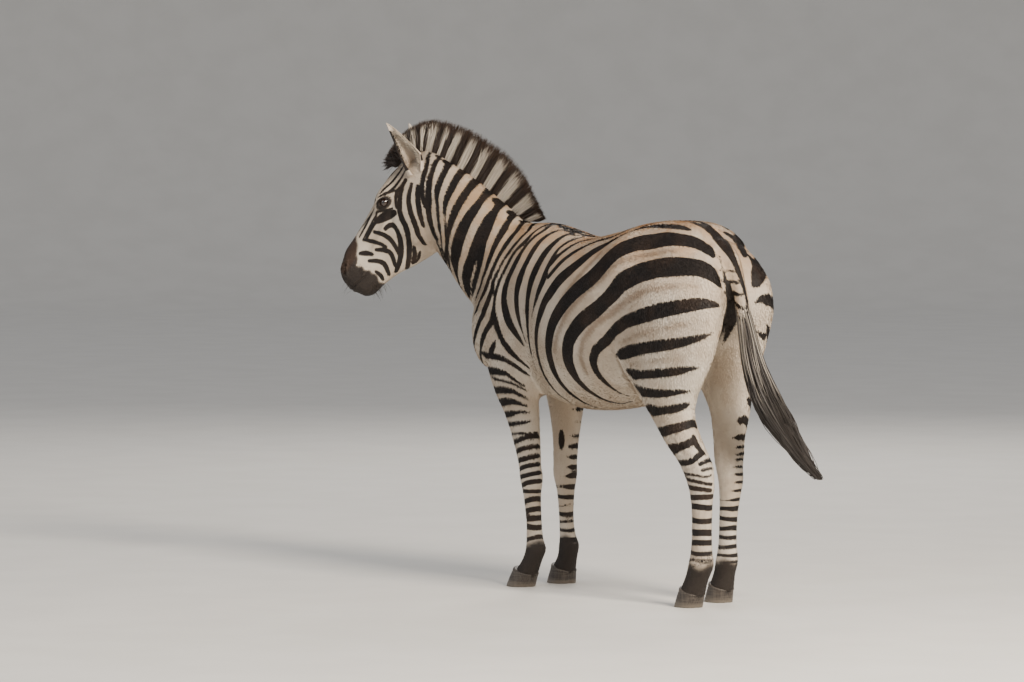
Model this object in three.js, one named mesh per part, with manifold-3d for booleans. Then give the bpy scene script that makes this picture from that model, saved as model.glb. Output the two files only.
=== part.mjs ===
// Plains zebra, standing, life size. Millimetres, +Z up, the head points to -X and the left side faces -Y.
// The body is one smooth field built from cross-sections, muscles and hollows; each named part is the piece
// of that field inside its own cutting planes, so neighbouring parts meet along flat faces.
import * as THREE from 'three';
import Module from 'manifold-3d';

const wasm = await Module();
wasm.setup();

// ---------------------------------------------------------------- driving dimensions (mm, degrees)

const STANCE_SHIFT = [260, 43, 0];       // moves the middle of the standing animal over the origin
const JOINT_GAP = 0.35;                  // clearance between neighbouring parts

const WITHERS_HEIGHT = 1306;             // top of the shoulder, the neck's root
const POLL = [-1050, -180, 1558];        // top of the skull between the ears
const HEAD_YAW = 33;                     // head turned to the animal's left
const HEAD_PITCH = 53;                   // face slopes down from the poll

const EYE_RADIUS = 21;
const EYE_AT = [205, -53, 66];           // along the face, up from it, out to the side
const NOSTRIL_AT = [496, -62, 43];
const MOUTH_CORNER = [466, -146];
const MOUTH_FRONT = [600, -120];
const MOUTH_GAP = 3;

const EAR_HALF_WIDTH = 37;
const EAR_WALL = 6;

const MANE_THICKNESS = 46;               // at the root; the free edge is a third of it
const HOOF_TOP_HEIGHT = 58;              // coronet, at the middle of the hoof
const CORONET_TILT = 17;                 // coronet drops towards the heel
const SOLE_CHAMFER = 5;

const KNEE_CUT = 392;
const HOCK_CUT = 478;

// ---------------------------------------------------------------- small vector helpers

const add = (a, b) => [a[0] + b[0], a[1] + b[1], a[2] + b[2]];
const sub = (a, b) => [a[0] - b[0], a[1] - b[1], a[2] - b[2]];
const scale = (a, k) => [a[0] * k, a[1] * k, a[2] * k];
const dot = (a, b) => a[0] * b[0] + a[1] * b[1] + a[2] * b[2];
const cross = (a, b) => [
  a[1] * b[2] - a[2] * b[1],
  a[2] * b[0] - a[0] * b[2],
  a[0] * b[1] - a[1] * b[0],
];
const unit = (a) => scale(a, 1 / Math.hypot(...a));
const radians = (degrees) => (degrees * Math.PI) / 180;
const clamp = (x, low, high) => Math.min(high, Math.max(low, x));

// Squares one direction against another: the part of a that is at right angles to b.
const squared = (a, b) => unit(sub(a, scale(b, dot(a, b) / dot(b, b))));

// Smooth curve through table rows, several steps to each row.
function smoothRows(rows, steps) {
  const first = rows[0].map((v, i) => 2 * v - rows[1][i]);
  const last = rows.at(-1).map((v, i) => 2 * v - rows.at(-2)[i]);
  const all = [first, ...rows, last];
  const out = [];
  for (let n = 1; n < all.length - 2; n += 1) {
    for (let j = 0; j < steps; j += 1) {
      const t = j / steps;
      out.push(all[n].map((p1, i) => {
        const p0 = all[n - 1][i];
        const p2 = all[n + 1][i];
        const p3 = all[n + 2][i];
        return 0.5 * (2 * p1 + (p2 - p0) * t + (2 * p0 - 5 * p1 + 4 * p2 - p3) * t * t
          + (3 * p1 - p0 - 3 * p2 + p3) * t * t * t);
      }));
    }
  }
  out.push(rows.at(-1));
  return out;
}

// ---------------------------------------------------------------- field shapes
// Every field is a function of a point, negative inside the animal and about the distance in mm outside.

const blend = (a, b, k) => {
  const h = Math.max(k - Math.abs(a - b), 0) / k;
  return Math.min(a, b) - h * h * k * 0.25;
};

const ellipticDistance = (x, y, ds, w, r, endRadius, power) => {
  const ring = power === 2
    ? (x / w) ** 2 + (y / r) ** 2
    : (Math.abs(x / w) ** power + Math.abs(y / r) ** power) ** (2 / power);
  const q = Math.sqrt(ring + (ds / endRadius) ** 2);
  const inner = -Math.min(w, r);
  return q > 1e-6 ? Math.max(Math.hypot(x, y, ds) * (1 - 1 / q), inner) : inner;
};

// Sections square to one straight direction. Row: place, side offset, up offset, half width, up, down.
function sections({ origin, along, up, rows, power = 2, cap = 0.8 }) {
  const a = unit(along);
  const u = squared(up, a);
  const side = cross(a, u);
  const fine = smoothRows(rows, 8);
  const places = fine.map((row) => row[0]);
  return (p) => {
    const v = sub(p, origin);
    const s = dot(v, a);
    const at = clamp(s, places[0], places.at(-1));
    let i = 0;
    while (i < places.length - 2 && places[i + 1] < at) i += 1;
    const t = (at - places[i]) / (places[i + 1] - places[i]);
    const row = fine[i].map((value, n) => value + (fine[i + 1][n] - value) * t);
    const y = dot(v, u) - row[2];
    const r = y > 0 ? row[4] : row[5];
    const endRadius = cap * Math.min(row[3], row[4], row[5]);
    return ellipticDistance(dot(v, side) - row[1], y, s - at, row[3], r, endRadius, power);
  };
}

// Sections along a bent axis. Row: x, y, z, half width, upper radius, lower radius.
function bentTube({ rows, up, power = 2, cap = 0.6 }) {
  const fine = smoothRows(rows, 8);
  const pieces = fine.slice(1).map((row, i) => {
    const from = fine[i];
    const d = sub(row, from);
    const length = Math.hypot(...d);
    const u = scale(d, 1 / length);
    const n = squared(up, u);
    return { from, to: row, u, n, side: cross(u, n), length };
  });
  return (p) => {
    let best = 1e9;
    for (const { from, to, u, n, side, length } of pieces) {
      const v = sub(p, from);
      const raw = dot(v, u) / length;
      const t = clamp(raw, 0, 1);
      const [w, top, low] = [3, 4, 5].map((i) => from[i] + (to[i] - from[i]) * t);
      const y = dot(v, n);
      const r = y > 0 ? top : low;
      const endRadius = cap * Math.min(w, top, low);
      best = Math.min(best,
        ellipticDistance(dot(v, side), y, (raw - t) * length, w, r, endRadius, power));
    }
    return best;
  };
}

// An egg-shaped muscle or bone lying along three directions.
function egg(centre, radii, axes) {
  return (p) => {
    const d = sub(p, centre);
    const v = axes.map((axis) => dot(d, axis));
    const q = Math.hypot(v[0] / radii[0], v[1] / radii[1], v[2] / radii[2]);
    return q > 1e-6 ? Math.hypot(...v) * (1 - 1 / q) : -Math.min(...radii);
  };
}

// A muscle of the body, tipped in the side view, on the left (1) or right (-1).
function muscle(centre, radii, pitch, side) {
  const c = Math.cos(radians(pitch));
  const s = Math.sin(radians(pitch));
  return egg([centre[0], side * centre[1], centre[2]], radii, [[c, 0, s], [0, 1, 0], [-s, 0, c]]);
}

// ---------------------------------------------------------------- head frame

const forward = [-Math.cos(radians(HEAD_YAW)), -Math.sin(radians(HEAD_YAW)), 0];
const pitchCos = Math.cos(radians(HEAD_PITCH));
const pitchSin = Math.sin(radians(HEAD_PITCH));
const DOWN_FACE = add(scale(forward, pitchCos), [0, 0, -pitchSin]);
const OFF_FACE = add(scale(forward, pitchSin), [0, 0, pitchCos]);
const HEAD_LEFT = [-forward[1], forward[0], 0];
const onHead = (a, b, c) => add(POLL,
  add(scale(DOWN_FACE, a), add(scale(OFF_FACE, b), scale(HEAD_LEFT, c))));

// ---------------------------------------------------------------- tables of the body

// x, middle height, half width, up, down
const TRUNK_ROWS = [
  [-655, 940, 95, 135, 150],
  [-575, 948, 145, 272, 205],
  [-470, 950, 180, WITHERS_HEIGHT - 976, 258],
  [-340, 950, 218, 320, 285],
  [-180, 948, 258, 304, 306],
  [0, 955, 276, 322, 300],
  [150, 985, 264, 324, 290],
  [290, 1030, 232, 289, 240],
  [420, 1065, 176, 244, 180],
  [495, 1085, 104, 158, 110],
];

// x, y, z, half width, crest, throat
const NECK_ROWS = [
  [-430, 0, 1065, 150, 165, 190],
  [-560, -8, 1110, 146, 165, 222],
  [-680, -36, 1175, 128, 152, 222],
  [-800, -80, 1262, 108, 154, 174],
  [-905, -125, 1340, 94, 153, 136],
  [-985, -160, 1400, 84, 140, 120],
  [-1030, -180, 1430, 74, 110, 110],
];

// distance down the face, face line, jaw line, half width
const HEAD_ROWS = [
  [10, -30, -200, 60],
  [60, -6, -280, 82],
  [120, 6, -308, 92],
  [180, 6, -312, 88],
  [250, -4, -298, 72],
  [330, -12, -266, 57],
  [400, -16, -230, 50],
  [460, -20, -210, 54],
  [505, -46, -197, 52],
];

// height, x, y, half width, front, back
const HIND_ROWS = {
  left: [
    [1225, 368, -86, 48, 80, 90],
    [1175, 374, -104, 76, 128, 160],
    [1110, 380, -122, 102, 170, 215],
    [1030, 388, -132, 112, 192, 246],
    [960, 385, -137, 112, 195, 250],
    [866, 370, -142, 105, 180, 234],
    [778, 362, -142, 90, 144, 192],
    [715, 376, -140, 76, 114, 138],
    [650, 402, -136, 63, 88, 98],
    [565, 452, -126, 55, 78, 82],
    [505, 492, -116, 50, 65, 76],
    [470, 510, -112, 46, 61, 67],
    [420, 523, -108, 40, 53, 55],
    [360, 525, -106, 34, 43, 44],
    [290, 524, -105, 32, 39, 40],
    [205, 522, -105, 33, 41, 44],
    [148, 518, -105, 40, 48, 53],
    [100, 496, -105, 38, 46, 49],
    [50, 472, -105, 44, 50, 48],
  ],
  right: [
    [1225, 368, 86, 48, 80, 85],
    [1175, 372, 104, 75, 124, 148],
    [1110, 378, 118, 99, 165, 196],
    [1030, 382, 127, 105, 190, 208],
    [960, 374, 130, 102, 190, 200],
    [866, 360, 134, 96, 170, 172],
    [778, 357, 136, 86, 132, 145],
    [715, 368, 135, 72, 100, 107],
    [650, 382, 132, 60, 76, 84],
    [565, 390, 123, 50, 62, 68],
    [505, 402, 112, 47, 56, 64],
    [470, 412, 106, 43, 53, 57],
    [420, 428, 100, 39, 49, 51],
    [360, 428, 96, 33, 40, 41],
    [290, 423, 94, 30, 35, 36],
    [205, 420, 93, 30, 35, 37],
    [148, 416, 93, 37, 41, 45],
    [100, 402, 93, 36, 41, 45],
    [50, 386, 93, 43, 49, 47],
  ],
};

const FORE_ROWS = {
  left: [
    [1080, -570, -112, 55, 95, 85],
    [1010, -562, -120, 68, 120, 110],
    [900, -547, -126, 76, 138, 130],
    [790, -510, -126, 75, 130, 118],
    [700, -497, -120, 65, 110, 92],
    [610, -476, -114, 54, 74, 70],
    [520, -459, -108, 45, 55, 55],
    [440, -449, -103, 39, 43, 45],
    [392, -443, -100, 40, 44, 44],
    [325, -441, -98, 31, 33, 35],
    [240, -435, -96, 27, 28, 33],
    [180, -430, -96, 29, 31, 35],
    [140, -424, -96, 35, 37, 43],
    [96, -446, -96, 34, 39, 43],
    [50, -480, -96, 43, 50, 46],
  ],
  right: [
    [1080, -570, 112, 55, 95, 85],
    [1010, -562, 120, 68, 120, 110],
    [900, -556, 126, 76, 135, 130],
    [790, -536, 126, 74, 118, 118],
    [700, -527, 122, 64, 102, 92],
    [610, -520, 116, 53, 72, 69],
    [520, -513, 108, 44, 54, 55],
    [440, -509, 102, 41, 47, 48],
    [392, -506, 100, 41, 47, 47],
    [325, -503, 100, 31, 33, 34],
    [240, -500, 100, 26, 28, 30],
    [180, -493, 100, 28, 31, 33],
    [140, -485, 100, 35, 38, 42],
    [96, -495, 100, 34, 39, 43],
    [50, -514, 100, 43, 51, 46],
  ],
};

// centre, radii, pitch, softness of the blend
const MUSCLES = [
  [[-560, -98, 1020], [85, 72, 235], 20, 70],     // shoulder blade
  [[-664, -98, 898], [80, 82, 130], 0, 80],       // point of the shoulder and breast
  [[-440, -135, 885], [105, 66, 150], -12, 60],   // muscle behind the elbow
  [[200, -150, 1160], [85, 60, 70], 0, 90],       // hip
  [[440, -76, 1115], [110, 82, 112], 0, 100],     // rump
];

// down the face, up from it, out to the side; radii the same way; softness
const HEAD_MUSCLES = [
  [[196, -40, 58], [50, 30, 27], 34],     // rim of the eye socket
  [[178, -196, 62], [84, 84, 30], 40],    // cheek
  [[480, -80, 34], [42, 34, 24], 26],     // nostril
  [[494, -172, 0], [40, 24, 36], 24],     // chin
];

// ---------------------------------------------------------------- the whole body as one field

const legField = (rows) => sections({
  origin: [0, 0, 0],
  along: [0, 0, -1],
  up: [-1, 0, 0],
  rows: rows.map(([z, x, y, w, front, back]) => [-z, y, -x, w, front, back]),
  cap: 0.7,
});

const trunkField = sections({
  origin: [0, 0, 0],
  along: [1, 0, 0],
  up: [0, 0, 1],
  rows: TRUNK_ROWS.map(([x, z, w, up, down]) => [x, 0, z, w, up, down]),
  power: 2.2,
  cap: 0.5,
});
const neckField = bentTube({ rows: NECK_ROWS, up: [0, 0, 1], power: 2.1 });
const headField = sections({
  origin: POLL,
  along: DOWN_FACE,
  up: OFF_FACE,
  rows: HEAD_ROWS.map(([a, face, jaw, w]) => {
    const middle = face - 0.45 * (face - jaw);
    return [a, 0, middle, w, face - middle, middle - jaw];
  }),
  power: 2.3,
  cap: 0.95,
});
const muscleFields = MUSCLES.flatMap(([centre, radii, pitch, softness]) =>
  [1, -1].map((side) => [muscle(centre, radii, pitch, side), softness]));
const headMuscleFields = HEAD_MUSCLES.flatMap(([[a, b, c], radii, softness]) =>
  (c === 0 ? [0] : [1, -1]).map((side) =>
    [egg(onHead(a, b, side * c), radii, [DOWN_FACE, OFF_FACE, HEAD_LEFT]), softness]));
const legFields = [
  [legField(HIND_ROWS.left), 80],
  [legField(HIND_ROWS.right), 80],
  [legField(FORE_ROWS.left), 45],
  [legField(FORE_ROWS.right), 45],
];

function bodyField(p) {
  let f = blend(trunkField(p), neckField(p), 110);
  f = blend(f, headField(p), 40);
  for (const [field, softness] of headMuscleFields) f = blend(f, field(p), softness);
  for (const [field, softness] of muscleFields) f = blend(f, field(p), softness);
  for (const [field, softness] of legFields) f = blend(f, field(p), softness);
  return f;
}

// ---------------------------------------------------------------- from field to closed mesh

function gradient(f, p) {
  const e = 0.5;
  return [0, 1, 2].map((i) => {
    const step = [0, 0, 0];
    step[i] = e;
    return (f(add(p, step)) - f(sub(p, step))) / (2 * e);
  });
}

const AXIS_BITS = [4, 2, 1];
const CORNERS = [0, 1, 2, 3, 4, 5, 6, 7].map((n) => [n >> 2, (n >> 1) & 1, n & 1]);
const CELL_EDGES = AXIS_BITS.flatMap((bit) => CORNERS.flatMap((_, n) => (n & bit ? [] : [[n, n | bit]])));
const CELL_FACES = AXIS_BITS.flatMap((bit, i) => {
  const [p, q] = [AXIS_BITS[(i + 1) % 3], AXIS_BITS[(i + 2) % 3]];
  return [0, bit].map((base) => [base, base | p, base | p | q, base | q]);
});
const edgeKey = (a, b) => Math.min(a, b) * 8 + Math.max(a, b);

// Sorts the crossed edges of one grid cell into sheets, so that two surfaces passing through the same cell
// each get a vertex of their own. A face crossed four times is read as two separate corners.
function sheets(v) {
  const group = new Map();
  for (const [a, b] of CELL_EDGES) if ((v[a] < 0) !== (v[b] < 0)) group.set(edgeKey(a, b), edgeKey(a, b));
  const find = (key) => (group.get(key) === key ? key : find(group.get(key)));
  for (const face of CELL_FACES) {
    const keys = face.map((corner, i) => edgeKey(corner, face[(i + 1) % 4]));
    const crossed = keys.filter((key) => group.has(key));
    if (crossed.length === 2) group.set(find(crossed[0]), find(crossed[1]));
    if (crossed.length === 4) {
      face.forEach((corner, i) => {
        if (v[corner] < 0) group.set(find(keys[i]), find(keys[(i + 3) % 4]));
      });
    }
  }
  return { group, find };
}

// A vertex for each sheet in each grid cell, pulled on to the surface, and one face for each grid edge that
// the surface crosses. The box, and the slope under the trunk, close the mesh where the body runs on.
function fieldMesh({ low, high, cell, grow = 0, slope = () => -1000 }) {
  const field = (p) => Math.max(bodyField(p), slope(p[0]) - p[2]);
  const count = [0, 1, 2].map((i) => Math.ceil((high[i] - low[i]) / cell[i]) + 1);
  const place = (i, j, k) => [low[0] + i * cell[0], low[1] + j * cell[1], low[2] + k * cell[2]];
  const corner = (i, j, k) => (i * count[1] + j) * count[2] + k;
  const edgeOfBox = (i, j, k) => i <= 0 || j <= 0 || k <= 0
    || i >= count[0] - 1 || j >= count[1] - 1 || k >= count[2] - 1;
  const value = new Float64Array(count[0] * count[1] * count[2]);
  for (let i = 0; i < count[0]; i += 1) {
    for (let j = 0; j < count[1]; j += 1) {
      for (let k = 0; k < count[2]; k += 1) {
        value[corner(i, j, k)] = edgeOfBox(i, j, k) ? cell[0] * 0.5 : field(place(i, j, k));
      }
    }
  }
  const vertices = [];
  const vertexOf = new Map();
  for (let i = 0; i < count[0] - 1; i += 1) {
    for (let j = 0; j < count[1] - 1; j += 1) {
      for (let k = 0; k < count[2] - 1; k += 1) {
        const v = CORNERS.map(([a, b, c]) => value[corner(i + a, j + b, k + c)]);
        const inside = v.filter((x) => x < 0).length;
        if (inside === 0 || inside === 8) continue;
        const { group, find } = sheets(v);
        const sums = new Map();
        for (const [a, b] of CELL_EDGES) {
          const key = edgeKey(a, b);
          if (!group.has(key)) continue;
          const t = v[a] / (v[a] - v[b]);
          const sum = sums.get(find(key)) ?? [0, 0, 0, 0];
          const hit = add(CORNERS[a], scale(sub(CORNERS[b], CORNERS[a]), t));
          sums.set(find(key), [...add(sum, hit), sum[3] + 1]);
        }
        const nearBox = edgeOfBox(i, j, k) || edgeOfBox(i + 1, j + 1, k + 1);
        for (const [sheet, sum] of sums) {
          const middle = scale(sum, 1 / sum[3]);
          let p = place(i + middle[0], j + middle[1], k + middle[2]);
          for (let n = 0; n < 3 && !nearBox; n += 1) {
            const g = gradient(field, p);
            const steep = Math.sqrt(Math.max(dot(g, g), 0.05));
            const move = clamp((grow - field(p)) / steep, -cell[0] * 0.4, cell[0] * 0.4);
            p = add(p, scale(g, move / steep));
          }
          vertexOf.set(corner(i, j, k) * 64 + sheet, vertices.length / 3);
          vertices.push(...p);
        }
        for (const key of group.keys()) {
          const home = vertexOf.get(corner(i, j, k) * 64 + find(key));
          vertexOf.set(corner(i, j, k) * 64 + key, home);
        }
      }
    }
  }
  const triangles = [];
  for (let i = 0; i < count[0] - 1; i += 1) {
    for (let j = 0; j < count[1] - 1; j += 1) {
      for (let k = 0; k < count[2] - 1; k += 1) {
        const here = value[corner(i, j, k)] < 0;
        AXIS_BITS.forEach((bit, axis) => {
          const [a, b, c] = CORNERS[bit];
          if ((value[corner(i + a, j + b, k + c)] < 0) === here) return;
          const [m, n] = [AXIS_BITS[(axis + 1) % 3], AXIS_BITS[(axis + 2) % 3]];
          const quad = [[0, 0], [1, 0], [1, 1], [0, 1]].map(([s, t]) => {
            const from = s * m + t * n;
            const [di, dj, dk] = CORNERS[from];
            return vertexOf.get(corner(i - di, j - dj, k - dk) * 64 + edgeKey(from, from | bit));
          });
          if (!here) quad.reverse();
          const [p0, p1, p2, p3] = quad.map((q) => vertices.slice(3 * q, 3 * q + 3));
          if (Math.hypot(...sub(p0, p2)) < Math.hypot(...sub(p1, p3))) {
            triangles.push(quad[0], quad[1], quad[2], quad[0], quad[2], quad[3]);
          } else {
            triangles.push(quad[1], quad[2], quad[3], quad[1], quad[3], quad[0]);
          }
        });
      }
    }
  }
  return solid(vertices, triangles);
}

function solid(vertices, triangles) {
  return new wasm.Manifold(new wasm.Mesh({
    numProp: 3,
    vertProperties: Float32Array.from(vertices),
    triVerts: Uint32Array.from(triangles),
  }));
}

// Closed skin through rings of points, with a flat fan at each end. Rings run anticlockwise seen from the
// far end looking back along the loft.
function loft(rings) {
  const sides = rings[0].length;
  const vertices = rings.flat(2);
  const triangles = [];
  for (let r = 0; r < rings.length - 1; r += 1) {
    for (let i = 0; i < sides; i += 1) {
      const j = (i + 1) % sides;
      const [a, b] = [r * sides + i, r * sides + j];
      const [c, d] = [a + sides, b + sides];
      triangles.push(a, b, d, a, d, c);
    }
  }
  for (const [r, flip] of [[0, true], [rings.length - 1, false]]) {
    const middle = [0, 1, 2].map((n) => rings[r].reduce((sum, p) => sum + p[n], 0) / sides);
    const centre = vertices.length / 3;
    vertices.push(...middle);
    for (let i = 0; i < sides; i += 1) {
      const [a, b] = [r * sides + i, r * sides + ((i + 1) % sides)];
      if (flip) triangles.push(centre, b, a);
      else triangles.push(centre, a, b);
    }
  }
  return solid(vertices, triangles);
}

// Outward-facing whichever way round the rings were made.
function outward(rings) {
  const made = loft(rings);
  return made.volume() > 0 ? made : loft(rings.map((ring) => [...ring].reverse()));
}

// A slab of space: everything on the far side of a plane, as a large block.
function beyond(point, normal, reach = 3000) {
  const n = unit(normal);
  const u = squared(Math.abs(n[2]) < 0.9 ? [0, 0, 1] : [1, 0, 0], n);
  const v = cross(n, u);
  const ring = (d) => [[1, 1], [-1, 1], [-1, -1], [1, -1]].map(([a, b]) =>
    add(add(point, scale(n, d)), add(scale(u, a * reach), scale(v, b * reach))));
  return outward([ring(0), ring(reach)]);
}

// A convex block standing on a side-view outline, between two places across the body.
function block(outline, from, to) {
  return outward([outline.map(([x, z]) => [x, from, z]), outline.map(([x, z]) => [x, to, z])]);
}

const ball = (centre, radii, axes, rows = 10) => {
  const sphere = new THREE.SphereGeometry(1, 2 * rows, rows);
  const source = sphere.getAttribute('position');
  const seen = new Map();
  const vertices = [];
  const merged = [];
  for (let i = 0; i < source.count; i += 1) {
    const p = [source.getX(i), source.getY(i), source.getZ(i)];
    const key = p.map((x) => Math.round(x * 1e5)).join();
    if (!seen.has(key)) {
      seen.set(key, vertices.length / 3);
      const q = [0, 1, 2].reduce((sum, n) => add(sum, scale(axes[n], p[n] * radii[n])), centre);
      vertices.push(...q);
    }
    merged.push(seen.get(key));
  }
  const index = [...sphere.index.array].map((i) => merged[i]);
  const triangles = [];
  for (let i = 0; i < index.length; i += 3) {
    const [a, b, c] = index.slice(i, i + 3);
    if (a !== b && b !== c && a !== c) triangles.push(a, b, c);
  }
  const made = solid(vertices, triangles);
  if (made.volume() > 0) return made;
  const turned = [];
  for (let i = 0; i < triangles.length; i += 3) turned.push(triangles[i], triangles[i + 2], triangles[i + 1]);
  return solid(vertices, turned);
};

// ---------------------------------------------------------------- where the parts meet

const NECK_ROOT = { point: [-628, -8, 1190], normal: unit([-0.95, -0.12, 0.3]) };
const THROAT = { point: onHead(-45, -60, 0), normal: unit(add(scale(DOWN_FACE, 0.72), scale(OFF_FACE, 0.69))) };
const FORE_TOP = [[-900, 835], [-300, 640], [-300, 200], [-900, 200]];
const HIND_TOP = [[100, 636], [800, 924], [800, 200], [100, 200]];
const lowered = (outline, gap) => outline.map(([x, z], i) => [x, i < 2 ? z - gap : z]);

const shifted = ({ point, normal }, d) => beyond(add(point, scale(normal, d)), normal);
const behind = ({ point, normal }, d) => beyond(add(point, scale(normal, d)), scale(normal, -1));

// ---------------------------------------------------------------- flesh parts

const legBlocks = [
  block(FORE_TOP, -400, -20),
  block(FORE_TOP, 20, 400),
  block(HIND_TOP, -400, -0.3),
  block(HIND_TOP, 0.3, 400),
];

// height of a cutting outline's sloping top edge at x
const topEdge = ([[x0, z0], [x1, z1]], x) => z0 + ((x - x0) * (z1 - z0)) / (x1 - x0);
const underTrunk = (x) => Math.max(topEdge(FORE_TOP, x), topEdge(HIND_TOP, x)) - 60;

const rawTrunk = (grow) => fieldMesh({
  low: [-780, -345, 560], high: [710, 345, 1420], cell: [70, 63, 65], grow, slope: underTrunk });
const rawNeck = (grow) => fieldMesh({ low: [-1160, -330, 960], high: [-560, 220, 1640], cell: [45, 42, 45], grow });
const rawHead = (grow) => fieldMesh({ low: [-1360, -420, 970], high: [-860, -20, 1620], cell: [28, 27, 28], grow });

let trunk = rawTrunk(0).subtract(shifted(NECK_ROOT, 0));
for (const cutter of legBlocks) trunk = trunk.subtract(cutter);

const neck = rawNeck(0)
  .intersect(shifted(NECK_ROOT, JOINT_GAP))
  .intersect(behind(THROAT, 0));

let head = rawHead(0).intersect(shifted(THROAT, JOINT_GAP));

const eyes = {};
const sockets = {};
for (const [name, side] of [['left', 1], ['right', -1]]) {
  const centre = onHead(EYE_AT[0], EYE_AT[1], side * EYE_AT[2]);
  const axes = [DOWN_FACE, OFF_FACE, HEAD_LEFT];
  const r = EYE_RADIUS;
  eyes[name] = ball(centre, [r, r, r], axes, 7);
  sockets[name] = ball(centre, [r + JOINT_GAP, r + JOINT_GAP, r + JOINT_GAP], axes, 7);
  const opening = ball(onHead(EYE_AT[0] + 2, EYE_AT[1] + 1, side * (EYE_AT[2] + 17)), [25, 17, 16],
    [unit(add(DOWN_FACE, scale(OFF_FACE, 0.35))), squared(OFF_FACE, unit(add(DOWN_FACE, scale(OFF_FACE, 0.35)))),
      HEAD_LEFT], 6);
  head = head.subtract(sockets[name].add(opening));
  const flare = unit(add(DOWN_FACE, scale(OFF_FACE, -0.75)));
  const nostril = ball(onHead(NOSTRIL_AT[0], NOSTRIL_AT[1], side * NOSTRIL_AT[2]), [21, 8, 17],
    [flare, squared(OFF_FACE, flare), HEAD_LEFT], 5);
  head = head.subtract(nostril);
}

const lipLine = [
  [MOUTH_CORNER[0], MOUTH_CORNER[1]],
  [MOUTH_FRONT[0], MOUTH_FRONT[1] + MOUTH_GAP],
  [MOUTH_FRONT[0], MOUTH_FRONT[1] - MOUTH_GAP],
];
const mouth = outward([-90, 90].map((c) => lipLine.map(([a, b]) => onHead(a, b, c))));
head = head.subtract(mouth);

// ---------------------------------------------------------------- legs and hooves

function legParts(rows, { outline, sideFrom, sideTo, cut, hoof }) {
  const xs = rows.filter((row) => row[0] < 900).map((row) => row[1]);
  const ys = rows.map((row) => row[2]);
  const middleY = (Math.min(...ys) + Math.max(...ys)) / 2;
  const region = block(lowered(outline, JOINT_GAP), sideFrom, sideTo);
  const upper = fieldMesh({
    low: [Math.min(...xs) - 250, sideFrom, cut - 70],
    high: [Math.max(...xs) + 300, sideTo, 960],
    cell: [43, 39, 52],
  }).intersect(region).intersect(beyond([0, 0, cut + JOINT_GAP], [0, 0, 1]));
  const coronet = {
    point: [hoof.top[0], hoof.top[1], HOOF_TOP_HEIGHT],
    normal: [Math.sin(radians(CORONET_TILT)), 0, Math.cos(radians(CORONET_TILT))],
  };
  const lowest = rows.filter((row) => row[0] < cut + 60);
  const xLow = lowest.map((row) => row[1]);
  const lower = fieldMesh({
    low: [Math.min(...xLow) - 80, middleY - 70, 6],
    high: [Math.max(...xLow) + 110, middleY + 75, cut + 60],
    cell: [22, 21, 46],
  }).intersect(beyond([0, 0, cut], [0, 0, -1])).intersect(shifted(coronet, JOINT_GAP));
  return { upper, lower };
}

// Horn capsule: sole flat on the ground, steep at the heel, sloping at the toe, cut off along the coronet.
function hoofSolid({ top, sole, turn, topHalf, soleHalf }) {
  const sides = 20;
  const levels = [
    { share: 0, inset: SOLE_CHAMFER },
    { share: 0.07, inset: 0 },
    { share: 0.55, inset: 0 },
    { share: 1, inset: 0 },
  ];
  const c = Math.cos(radians(turn));
  const s = Math.sin(radians(turn));
  const rings = levels.map(({ share, inset }) => Array.from({ length: sides }, (_, i) => {
    const angle = (2 * Math.PI * i) / sides;
    const heel = Math.max(0, Math.cos(angle));
    const shape = 1 - 0.12 * heel * heel;
    const halfLength = soleHalf[0] + (topHalf[0] - soleHalf[0]) * share - inset;
    const halfWidth = soleHalf[1] + (topHalf[1] - soleHalf[1]) * share - inset;
    const x = halfLength * Math.cos(angle) * shape;
    const y = halfWidth * Math.sin(angle);
    const centreX = sole[0] + (top[0] - sole[0]) * share;
    const centreY = sole[1] + (top[1] - sole[1]) * share;
    const px = x * c - y * s;
    const topZ = HOOF_TOP_HEIGHT - (px + centreX - top[0]) * Math.tan(radians(CORONET_TILT));
    return [centreX + px, centreY + x * s + y * c, topZ * share];
  }));
  return outward(rings);
}

const HOOVES = {
  fore_left: { top: [-478, -96], sole: [-510, -96], turn: 0, topHalf: [47, 43], soleHalf: [58, 50] },
  fore_right: { top: [-512, 100], sole: [-528, 100], turn: 0, topHalf: [47, 43], soleHalf: [58, 50] },
  hind_left: { top: [474, -105], sole: [452, -105], turn: 0, topHalf: [46, 42], soleHalf: [56, 46] },
  hind_right: { top: [388, 93], sole: [372, 93], turn: 0, topHalf: [45, 42], soleHalf: [56, 46] },
};

const legs = {
  fore_left: legParts(FORE_ROWS.left,
    { outline: FORE_TOP, sideFrom: -400, sideTo: -20, cut: KNEE_CUT, hoof: HOOVES.fore_left }),
  fore_right: legParts(FORE_ROWS.right,
    { outline: FORE_TOP, sideFrom: 20, sideTo: 400, cut: KNEE_CUT, hoof: HOOVES.fore_right }),
  hind_left: legParts(HIND_ROWS.left,
    { outline: HIND_TOP, sideFrom: -400, sideTo: -0.6, cut: HOCK_CUT, hoof: HOOVES.hind_left }),
  hind_right: legParts(HIND_ROWS.right,
    { outline: HIND_TOP, sideFrom: 0.6, sideTo: 400, cut: HOCK_CUT, hoof: HOOVES.hind_right }),
};

// ---------------------------------------------------------------- ears

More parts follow.
